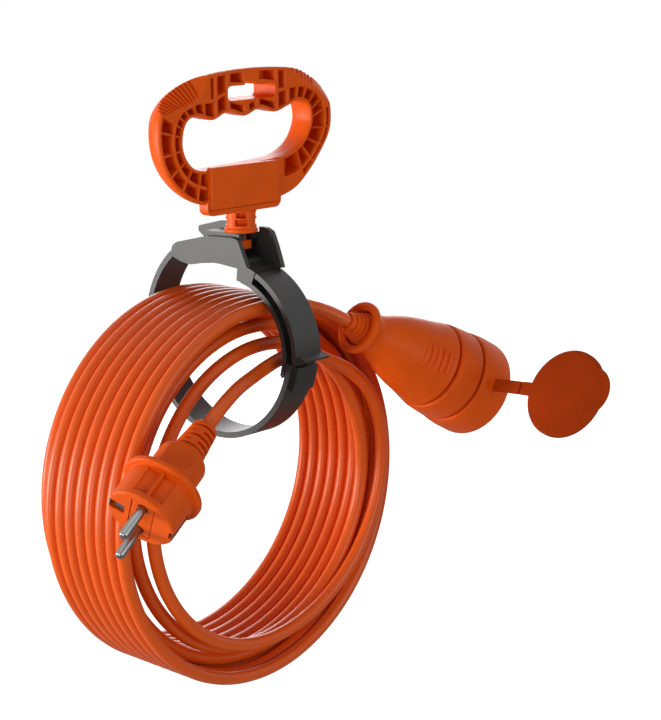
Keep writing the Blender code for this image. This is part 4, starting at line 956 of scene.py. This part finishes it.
class CORD_OT_jaw(bpy.types.Operator):
    """Builds the swinging lower band with its knuckle, latch block and toothed tongue"""
    bl_idname = "cord.jaw"
    bl_label = "Jaw"

    def execute(self, context):
        x = BAND_HALF_X
        start = HINGE_DEG - 4.6
        jaw = prism("jaw_band", band(JAW_R_IN, JAW_R_OUT, start, JAW_TIP_DEG, 110), -x, x, RING)
        inner = PLATE_IN_X - GAP
        join(jaw, prism("neck", band(JAW_R_IN + 0.2, JAW_R_OUT - 0.2, HINGE_DEG, start - 1.4, 6),
                        -inner + 0.3, inner - 0.3, RING))
        join(jaw, rod("knuckle", KNUCKLE_R, -inner, inner, HINGE))
        cut(jaw, pin_bore())
        join(jaw, prism("block", band(JAW_R_OUT - 1.4, 57.9, -171.3, -157.4, 10), -x + 2.6,
                        x - 1.4, RING))
        k = np.arange(5)
        z = -5.0 + 2.2 * k
        y = -53.7 + 0.011 * (z + 1.0) ** 2 - 0.03 * k
        teeth = np.stack([np.column_stack([y, z]), np.column_stack([y + 0.5, z + 0.3])], 1)
        tongue = np.vstack([[(-52.1, -9.6), (-53.8, -9.6)], teeth.reshape(-1, 2),
                            [(-52.6, 6.6), (-51.6, 6.9), (-51.4, 5.6), (-52.0, -3.0)]])
        join(jaw, prism("tongue", tongue, -6.0, 6.0, RING))
        round_edges(jaw, context.scene.cord_shapes.edge)
        settle(jaw, "jaw", BLACK_PP, ["clip_jaw"])
        return {'FINISHED'}


class CORD_OT_hinge_pin(bpy.types.Operator):
    """Builds the pin of the jaw's hinge"""
    bl_idname = "cord.hinge_pin"
    bl_label = "Hinge pin"

    def execute(self, context):
        x = BAND_HALF_X + 0.2
        pin = lathe("hinge_pin", [(0, -x), (1.2, -x), (1.4, -x + 0.2), (1.4, x), (2.4, x + GAP),
                                  (2.4, x + 1.0), (2.2, x + 1.2), (1.7, x + 1.3), (0, x + 1.3)],
                    HINGE, 40)
        settle(pin, "carrier", STEEL, ["jaw_hinge_pin"])
        return {'FINISHED'}


# ------------------------------------------------------------------ plug
def pin_places(place):
    """The two pins' places beside the axis of a plug or socket, and their letters."""
    return [(place @ Matrix.Translation((sign * PIN_PITCH / 2, 0, 0)), letter)
            for sign, letter in ((-1, "a"), (1, "b"))]


def dome(radius, rounding, tip, steps):
    """Profile of a round pin's end: a quarter circle, then the tip on the axis."""
    a = np.radians(np.linspace(0, 90, steps))
    return np.vstack([np.column_stack([radius - rounding + rounding * np.cos(a),
                                       tip - rounding + rounding * np.sin(a)]), [(0, tip)]])


def slotted(first, pitch, count, half, depth, open_share):
    """Radius change of a ribbed sleeve: ring grooves `pitch` apart and 2 * half wide, each broken
    by two bridges that turn a right angle from groove to groove."""
    def radial(r, z, a):
        k = np.round((z - first) / pitch)
        near = np.abs(z - (first + k * pitch))
        inside = (near < half) & (k >= 0) & (k < count)
        bridge = np.abs(np.cos(a + k * math.pi / 2)) > open_share
        return r - depth * inside * bridge
    return radial


def finely(profile, step):
    """Profile with points added at about `step` along its straight runs."""
    p = np.asarray(profile, float)
    along = np.concatenate([[0], np.cumsum(np.linalg.norm(np.diff(p, axis=0), axis=1))])
    at = np.unique(np.concatenate([along, np.arange(0, along[-1], step)]))
    return np.stack([np.interp(at, along, p[:, k]) for k in (0, 1)], 1)


def thumb_flats(r, z, a):
    """Flats on two sides of the grip: there the radius can't pass a plane beside the axis."""
    start, end, deep = THUMB_FLAT
    limit = (PLUG_GRIP_R - deep) / np.maximum(np.abs(np.cos(a)), 1e-3)
    on = np.clip(np.minimum(z - start, end - z) / 0.7, 0, 1)
    return r + (np.minimum(r, limit) - r) * on


def plug_sleeve(cord_r):
    """Bend relief behind the plug: a cone with four broken ring grooves."""
    relief = soften([(cord_r + SLEEVE_ROOM, 0.4), (5.7, 0.4), (6.7, 1.9), (8.4, 17.0), (8.4, 17.7),
                     (cord_r + SLEEVE_ROOM, 17.7)], 0.7)
    relief = np.vstack([relief, relief[:1]])
    sleeve = lathe("plug_sleeve", finely(relief, 0.35), PLUG, 96,
                   slotted(4.4, 3.5, 4, 0.72, 2.2, 0.3))
    settle(sleeve, "carrier", ORANGE_PVC, ["plug_bend_relief"], 30.0)


def plug_grip():
    """Turned grip, flange and front, with thumb flats, guide panels on two sides of the front,
    the seat of the pins' bridge and the openings of the earth contacts."""
    face, grip = PLUG_LEN, PLUG_GRIP_R
    front = face - PLUG_FRONT
    keys = [(0, 18.0), (8.0, 18.0), (9.2, 19.0), (10.2, 20.6), (grip - 0.9, 22.4),
            (grip, 24.6), (grip, 31.6), (grip - 0.5, 35.0), (grip - 0.3, front - 5.4),
            (PLUG_FLANGE_R - 1.0, front - 3.8), (PLUG_FLANGE_R, front - 2.8),
            (PLUG_FLANGE_R, front - 0.8), (PLUG_FLANGE_R - 0.8, front), (PLUG_FACE_R, front),
            (PLUG_FACE_R, face - 0.8), (PLUG_FACE_R - 0.8, face), (0, face)]
    shell = lathe("plug_grip", finely(soften(keys, 0.6, False, 5), 0.5), PLUG, 128, thumb_flats)
    wall, slot = PLUG_FACE_R - GUIDE_DEEP, EARTH_FOOT
    for sign in (-1, 1):
        side = turned(PLUG, 90 - 90 * sign)
        for low, high in ((-7.8, -0.8), (0.8, 7.8)):
            cut(shell, block("guide", (wall - 1.4, low, front + 1.2), (30, high, face - 3.2),
                             side))
    cut(shell, block("bridge_seat", (-13.4, -6.4, BRIDGE_FOOT), (13.4, 6.4, face + 5), PLUG))
    cut(shell, block("earth_slot", (-3.2, -PLUG_FACE_R - 5, slot), (3.2, -9.0, face + 5), PLUG))
    cut(shell, block("earth_slot", (-2.4, PLUG_FACE_R - 2.6, slot),
                     (2.4, PLUG_FACE_R + 5, face + 5), PLUG))
    round_edges(shell, 0.0003, 2, 45.0)
    settle(shell, "carrier", ORANGE_PVC, ["plug_body"], 27.0)


def plug_bridge():
    """Inner block that carries the pins."""
    bridge = block("pin_bridge", (-13.1, -6.1, BRIDGE_FOOT + GAP), (13.1, 6.1, PLUG_LEN - 0.2),
                   PLUG)
    for place, _ in pin_places(PLUG):
        cut(bridge, rod("hole", PIN_R + GAP, 40, 80, place, 40))
    round_edges(bridge, 0.0004, 2)
    settle(bridge, "carrier", ORANGE_PVC, ["plug_pin_bridge"])


class CORD_OT_plug_shell(bpy.types.Operator):
    """Builds the plug's bend relief, grip, flange and pin bridge"""
    bl_idname = "cord.plug_shell"
    bl_label = "Plug shell"

    def execute(self, context):
        plug_sleeve(context.scene.cord_sizes.diameter / 2 / MM)
        plug_grip()
        plug_bridge()
        return {'FINISHED'}


class CORD_OT_plug_metal(bpy.types.Operator):
    """Builds the plug's pins and earth contacts"""
    bl_idname = "cord.plug_metal"
    bl_label = "Plug metal"

    def execute(self, context):
        face, foot = PLUG_LEN, BRIDGE_FOOT + 0.6
        profile = np.vstack([[(0, foot), (PIN_R, foot), (PIN_R, face + 1)],
                             dome(PIN_R, 2.0, face + PIN_LEN, 9)])
        for place, letter in pin_places(PLUG):
            pin = lathe("pin_" + letter, profile, place, 48)
            settle(pin, "carrier", NICKEL, ["plug_pin_" + letter])
        out, foot = PLUG_FACE_R - 0.4, EARTH_FOOT + 0.5
        strip = soften([(-out, foot), (-9.3, foot), (-9.3, face - 1.0), (-14.6, face - 1.0),
                        (-14.6, face - 1.8), (-10.1, face - 1.8), (-10.1, foot + 0.8),
                        (0.8 - out, foot + 0.8), (0.8 - out, face - 0.6), (-out, face - 0.6)], 0.35)
        clip = prism("earth_strip_a", strip, -2.8, 2.8, PLUG)
        settle(clip, "carrier", NICKEL, ["plug_earth_contact_a"])
        strip = soften([(out, face - 0.6), (out - 0.8, face - 0.6), (out - 0.8, foot + 0.8),
                        (PLUG_FACE_R - 2.2, foot + 0.8), (PLUG_FACE_R - 2.2, foot), (out, foot)], 0.3)
        clip = prism("earth_strip_b", strip, -2.0, 2.0, PLUG)
        settle(clip, "carrier", NICKEL, ["plug_earth_contact_b"])
        return {'FINISHED'}


# ------------------------------------------------------------------ socket
def finger_ribs(r, z, a):
    """Five short cross ribs on two opposite sides of the grip, with sloped ends."""
    first, pitch, count, height, reach = FINGER_RIBS
    k = np.clip(np.round((z - first) / pitch), 0, count - 1)
    high = np.clip((1.2 - np.abs(z - first - pitch * k)) / 0.35, 0, 1)
    off = np.abs((np.degrees(a) - 2.0 + 90) % 180 - 90) * r * math.pi / 180
    return r + height * high * np.clip((reach - off) / 0.7, 0, 1)


def socket_sleeve(cord_r):
    """Bend relief behind the socket: four rings on a cone."""
    relief = [(cord_r + SLEEVE_ROOM, 0.4), (4.9, 0.4), (5.3, 1.6)]
    for k in range(4):
        z, r = 2.9 + k * 2.5, 5.5 + 0.95 * k
        relief += [(r, z - 0.5), (r - 0.8, z - 0.2), (r - 0.8, z + 0.5), (r + 0.7, z + 0.8)]
    relief += [(9.6, 12.2), (9.6, 14.7), (cord_r + SLEEVE_ROOM, 14.7)]
    sleeve = lathe("socket_sleeve", soften(relief, 0.35), SOCKET, 72, closed=True)
    settle(sleeve, "carrier", ORANGE_PVC, ["socket_bend_relief"])


def socket_grip():
    """Grip that flares from its tail rim to the first groove, bored for the insert."""
    bore, low = INSERT_R + GAP, GROOVES[0]
    tail = [(0, 15.0), (9.9, 15.0), (10.2, 9.8), (12.6, 8.2), (14.2, 8.5), (14.9, 9.7),
            (14.6, 11.6)]
    side = hermite([(14.6, 11.6), (12.4, 14.0), (11.3, 17.5), (12.2, 23.0), (15.3, 31.0),
                    (18.5, 40.0), (20.8, 49.0), (22.7, 58.0), (24.6, low - 1.2)], 8)
    mouth = [(24.5, low - 0.6), (23.8, low), (bore, low), (bore, WELL_Z), (0, WELL_Z)]
    profile = finely(np.vstack([soften(tail, 0.5, False), side[1:], mouth]), 0.35)
    grip = lathe("socket_grip", profile, SOCKET, 160, finger_ribs)
    settle(grip, "carrier", ORANGE_PVC, ["socket_grip_body"], 40.0)


def socket_rings():
    """Collar between the two grooves, and front ring with the strap's lug."""
    bore, top, (low, high) = INSERT_R + GAP, SOCKET_LEN, GROOVES
    z0, z1 = low + GROOVE_W, high
    collar = soften([(bore, z0), (24.6, z0), (25.6, z0 + 1.0), (26.0, z0 + 5.4),
                     (26.7, z1 - 1.2), (26.0, z1), (bore, z1)], 0.8)
    settle(lathe("socket_band", collar, SOCKET, 128, closed=True), "carrier", ORANGE_PVC,
           ["socket_collar"])
    z0 = high + GROOVE_W
    rim = soften([(bore, z0), (26.4, z0), (27.3, z0 + 1.0), (SOCKET_R, z0 + 8.0),
                  (SOCKET_R, top - 4.6), (SOCKET_R - 0.5, top - 2.4), (SOCKET_R - 1.6, top - 0.7),
                  (SOCKET_R - 3.2, top), (bore, top)], 1.0, True, 5)
    front = lathe("socket_rim", rim, SOCKET, 128, closed=True)
    x1, z1 = STRAP_HINGE
    join(front, block("lug", (SOCKET_R - 1.5, -STRAP_W / 2 - 0.8, z1 - 2.4),
                      (x1 - STRAP_T / 2 - STRAP_ROOM, STRAP_W / 2 + 0.8, z1 + 2.4), SOCKET))
    settle(front, "carrier", ORANGE_PVC, ["socket_front_ring"])


class CORD_OT_socket_shell(bpy.types.Operator):
    """Builds the socket's bend relief, grip, collar and front ring"""
    bl_idname = "cord.socket_shell"
    bl_label = "Socket shell"

    def execute(self, context):
        socket_sleeve(context.scene.cord_sizes.diameter / 2 / MM)
        socket_grip()
        socket_rings()
        return {'FINISHED'}


class CORD_OT_socket_inside(bpy.types.Operator):
    """Builds the socket's recessed insert, its contacts and earth pin"""
    bl_idname = "cord.socket_inside"
    bl_label = "Socket inside"

    def execute(self, context):
        top, floor = SOCKET_LEN, SOCKET_LEN - RECESS_DEPTH
        low = WELL_Z + GAP
        profile = soften([(0, low), (INSERT_R - 1.0, low), (INSERT_R, low + 1.0),
                          (INSERT_R, top - 0.8), (INSERT_R - 0.7, top - 0.1),
                          (RECESS_R + 0.6, top - 0.1), (RECESS_R, top - 0.7), (RECESS_R, floor),
                          (0, floor)], 0.5, False)
        insert = lathe("socket_well", profile, SOCKET, 96)
        turn = turned(SOCKET, 35)
        seat = [(0, floor - 24.0), (3.6, floor - 24.0), (3.6, floor - 1.4), (2.9, floor - 1.4),
                (2.9, floor + 3.0), (0, floor + 3.0)]
        tube_wall = soften([(3.3, floor - 23.7), (3.3, floor - 1.7), (2.5, floor - 1.7),
                            (2.5, floor - 21.0), (0, floor - 21.0), (0, floor - 23.7)], 0.2, False)
        for place, letter in pin_places(turn):
            cut(insert, lathe("seat", seat, place, 40))
            contact = lathe("contact_" + letter, tube_wall, place, 40)
            settle(contact, "carrier", BRASS, ["socket_contact_" + letter])
        place = turn @ Matrix.Translation((0, 10.0, 0))
        cut(insert, rod("earth_hole", PIN_R + GAP, floor - 14.0, floor + 3, place, 40))
        settle(insert, "carrier", ORANGE_PP, ["socket_insert"])
        profile = np.vstack([[(0, floor - 13.7), (PIN_R, floor - 13.7)],
                             dome(PIN_R, 1.8, floor + 14.0, 8)])
        pin = lathe("socket_earth", profile, place, 48)
        settle(pin, "carrier", NICKEL, ["socket_earth_pin"])
        return {'FINISHED'}


def hinge_end(length):
    """Side outline of a strap piece: round about its hinge, then straight to `length`."""
    return np.vstack([arc(STRAP_T / 2, 90, 270, 9),
                      [(length, -STRAP_T / 2), (length, STRAP_T / 2)]])


class CORD_OT_cap(bpy.types.Operator):
    """Builds the socket's cap and the strap that holds it"""
    bl_idname = "cord.cap"
    bl_label = "Cap and strap"

    def execute(self, context):
        half, t = STRAP_W / 2, CAP_T / 2
        link = prism("strap_link", hinge_end(STRAP_LINK - STRAP_T / 2 - STRAP_ROOM), -half, half,
                     LINK @ FRONT)
        round_edges(link, 0.0004, 2)
        settle(link, "strap", MATTE_PVC_AND_PAINTED_SHADE, ["cap_strap"])
        seal = RECESS_R - 1.6
        profile = [(0, -t), (CAP_R - 1.4, -t), (CAP_R, -t + 1.2), (CAP_R, t + 0.6),
                   (CAP_R - 1.6, t + 0.6), (CAP_R - 1.6, t - 0.4), (seal, t - 0.4),
                   (seal - 0.6, t + 2.2), (seal - 2.4, t + 2.2), (seal - 2.6, t - 0.4), (0, t - 0.4)]
        cap = lathe("cap_disc", soften(profile, 0.4, False), CAP, 128)
        join(cap, prism("arm", hinge_end(STRAP_ARM + 3.0), -half, half,
                        LINK @ Matrix.Translation((STRAP_LINK, 0, 0)) @ FRONT))
        a = np.radians(np.linspace(-30, 30, 25))
        reach = CAP_R - 0.6 + (TAB_LEN + 0.6) * np.cos(a * 3.0) ** 0.8
        tab = np.vstack([arc(CAP_R - 2.4, 30, -30, 25),
                         np.column_stack([reach * np.cos(a), reach * np.sin(a)])])
        join(cap, prism("tab", tab, -t + 0.3, t - 0.3, turned(CAP, TAB_DEG) @ FLAT))
        round_edges(cap, 0.0003, 2, 50.0)
        settle(cap, "cap", MATTE_PVC_AND_PAINTED_SHADE, ["socket_cap"])
        return {'FINISHED'}


# ------------------------------------------------------------------ stage
CAMERA_AT = (-0.6902, -0.6846, 0.0745)
CAMERA_FORWARD = (0.7247, 0.6517, -0.2237)
CAMERA_RIGHT = (0.669, -0.743, 0.0)
FOCAL_PX = 1860.0
PICTURE = (661, 720)
LIT = (0.0, 0.0, -0.16)
# soft boxes that face that point: place in metres, width, watts and colour
LAMPS = {
    "left_soft_box": ((-1.2, -0.30, -0.24), 0.5, 4.5, (1.0, 0.99, 0.97)),
    "side_soft_box": ((-0.95, 0.8, -0.24), 0.6, 14.0, (1.0, 0.99, 0.97)),
    "front_fill": ((0.2, -1.35, -0.1), 0.9, 4.6, (0.98, 0.99, 1.0)),
    "back_fill": ((0.95, 1.0, 0.1), 0.9, 7.0, (1.0, 1.0, 1.0)),
    "top_soft_box": ((-0.1, -0.1, 1.1), 0.8, 1.2, (1.0, 1.0, 1.0)),
}


def area_light(name, at, size, power, colour):
    """Round lamp that faces the object."""
    light = bpy.data.lights.new(name, 'AREA')
    light.shape, light.size, light.energy, light.color = 'DISK', size, power, colour
    obj = bpy.data.objects.new(name, light)
    obj.location = at
    obj.rotation_euler = (Vector(LIT) - Vector(at)).to_track_quat('-Z', 'Y').to_euler()
    bpy.context.scene.collection.objects.link(obj)


def place_camera(scene):
    """Camera that stands where the picture was taken from."""
    data = bpy.data.cameras.new("camera")
    data.sensor_fit, data.sensor_width = 'AUTO', 36.0
    data.lens = FOCAL_PX * data.sensor_width / max(PICTURE)
    data.clip_start, data.clip_end = 0.01, 100.0
    camera = bpy.data.objects.new("camera", data)
    back = -Vector(CAMERA_FORWARD).normalized()
    right = Vector(CAMERA_RIGHT).normalized()
    camera.matrix_world = Matrix((right, back.cross(right), back)).transposed().to_4x4()
    camera.location = CAMERA_AT
    scene.collection.objects.link(camera)
    scene.camera = camera


def white_studio(scene):
    """World that is plain white where it is looked at, mirrored or seen through, and lights the
    object only faintly."""
    scene.world = bpy.data.worlds.new("white studio")
    tree = emptied(scene.world)
    rays = add(tree, "ShaderNodeLightPath")
    seen = add(tree, "ShaderNodeMath", links={0: (rays, "Is Camera Ray"),
                                              1: (rays, "Is Glossy Ray")}, operation='MAXIMUM')
    seen = add(tree, "ShaderNodeMath", links={0: (seen, 0), 1: (rays, "Is Transmission Ray")},
               operation='MAXIMUM')
    level = add(tree, "ShaderNodeMapRange", {"To Min": 0.24, "To Max": 1.0},
                {"Value": (seen, 0)})
    back = add(tree, "ShaderNodeBackground", {"Color": (1, 1, 1, 1)},
               {"Strength": (level, "Result")})
    add(tree, "ShaderNodeOutputWorld", links={"Surface": (back, "Background")})


def paper_floor(scene):
    """Pale floor below the lowest turn, which shows near white and takes the shadow."""
    low = CAD_BOX[0].z - scene.cord_shapes.floor_drop
    bpy.ops.mesh.primitive_plane_add(size=60.0, location=(0, 0, low))
    floor = bpy.context.object
    floor.name = "studio_floor"
    paper = bpy.data.materials.new("matte white paper")
    tree = emptied(paper)
    rays = add(tree, "ShaderNodeLightPath")
    matte = add(tree, "ShaderNodeBsdfDiffuse", {"Color": (0.55, 0.55, 0.55, 1)})
    lift = add(tree, "ShaderNodeMapRange", {"To Min": 0.0, "To Max": 0.88},
               {"Value": (rays, "Is Camera Ray")})
    glow = add(tree, "ShaderNodeEmission", {"Color": (1, 1, 1, 1)},
               {"Strength": (lift, "Result")})
    both = add(tree, "ShaderNodeAddShader", links={0: (matte, "BSDF"), 1: (glow, "Emission")})
    add(tree, "ShaderNodeOutputMaterial", links={"Surface": (both, "Shader")})
    floor.data.materials.append(paper)


class CORD_OT_stage(bpy.types.Operator):
    """Makes the camera, the studio lights, the white background and the pale floor"""
    bl_idname = "cord.stage"
    bl_label = "Stage"

    def execute(self, context):
        place_camera(context.scene)
        for name, lamp in LAMPS.items():
            area_light(name, *lamp)
        white_studio(context.scene)
        paper_floor(context.scene)
        context.scene.view_settings.view_transform = 'Standard'
        return {'FINISHED'}


class CORD_OT_declare(bpy.types.Operator):
    """Works out the cord's centreline for its diameter, and does nothing more with it"""
    bl_idname = "cord.declare"
    bl_label = "Declare cord"

    def execute(self, context):
        diameter = context.scene.cord_sizes.diameter
        path = (evenly(cord_route(diameter), 6.0)[0] * MM).tolist()
        return {'FINISHED'}


BUILD = (CORD_OT_stage, CORD_OT_wound_cord, CORD_OT_handle, CORD_OT_plate, CORD_OT_neck,
         CORD_OT_clip_block, CORD_OT_latch, CORD_OT_jaw, CORD_OT_hinge_pin, CORD_OT_plug_shell,
         CORD_OT_plug_metal, CORD_OT_socket_shell, CORD_OT_socket_inside, CORD_OT_cap,
         CORD_OT_declare)


class CORD_PT_panel(bpy.types.Panel):
    """Lists the pieces and their settings in the sidebar"""
    bl_idname = "CORD_PT_panel"
    bl_label = "Extension cord"
    bl_space_type = 'VIEW_3D'
    bl_region_type = 'UI'
    bl_category = "Cord"

    def draw(self, context):
        column = self.layout.column()
        for settings in (context.scene.cord_sizes, context.scene.cord_shapes,
                         context.scene.cord_colours):
            for key in settings.__annotations__:
                column.prop(settings, key)
        for operator in BUILD:
            column.operator(operator.bl_idname)


GROUPS = {"cord_sizes": CordSettings, "cord_shapes": ShapeSettings, "cord_colours": ColourSettings}


def register():
    """Registers the settings, operators and panel."""
    for cls in (*GROUPS.values(), *BUILD, CORD_PT_panel):
        bpy.utils.register_class(cls)
    for name, group in GROUPS.items():
        setattr(bpy.types.Scene, name, PointerProperty(type=group))


def unregister():
    """Takes them out again."""
    for name in GROUPS:
        delattr(bpy.types.Scene, name)
    for cls in reversed((*GROUPS.values(), *BUILD, CORD_PT_panel)):
        bpy.utils.unregister_class(cls)


def main():
    """Builds every piece."""
    register()
    for operator in BUILD:
        getattr(bpy.ops.cord, operator.__name__.removeprefix("CORD_OT_"))()


if __name__ == "__main__":
    main()
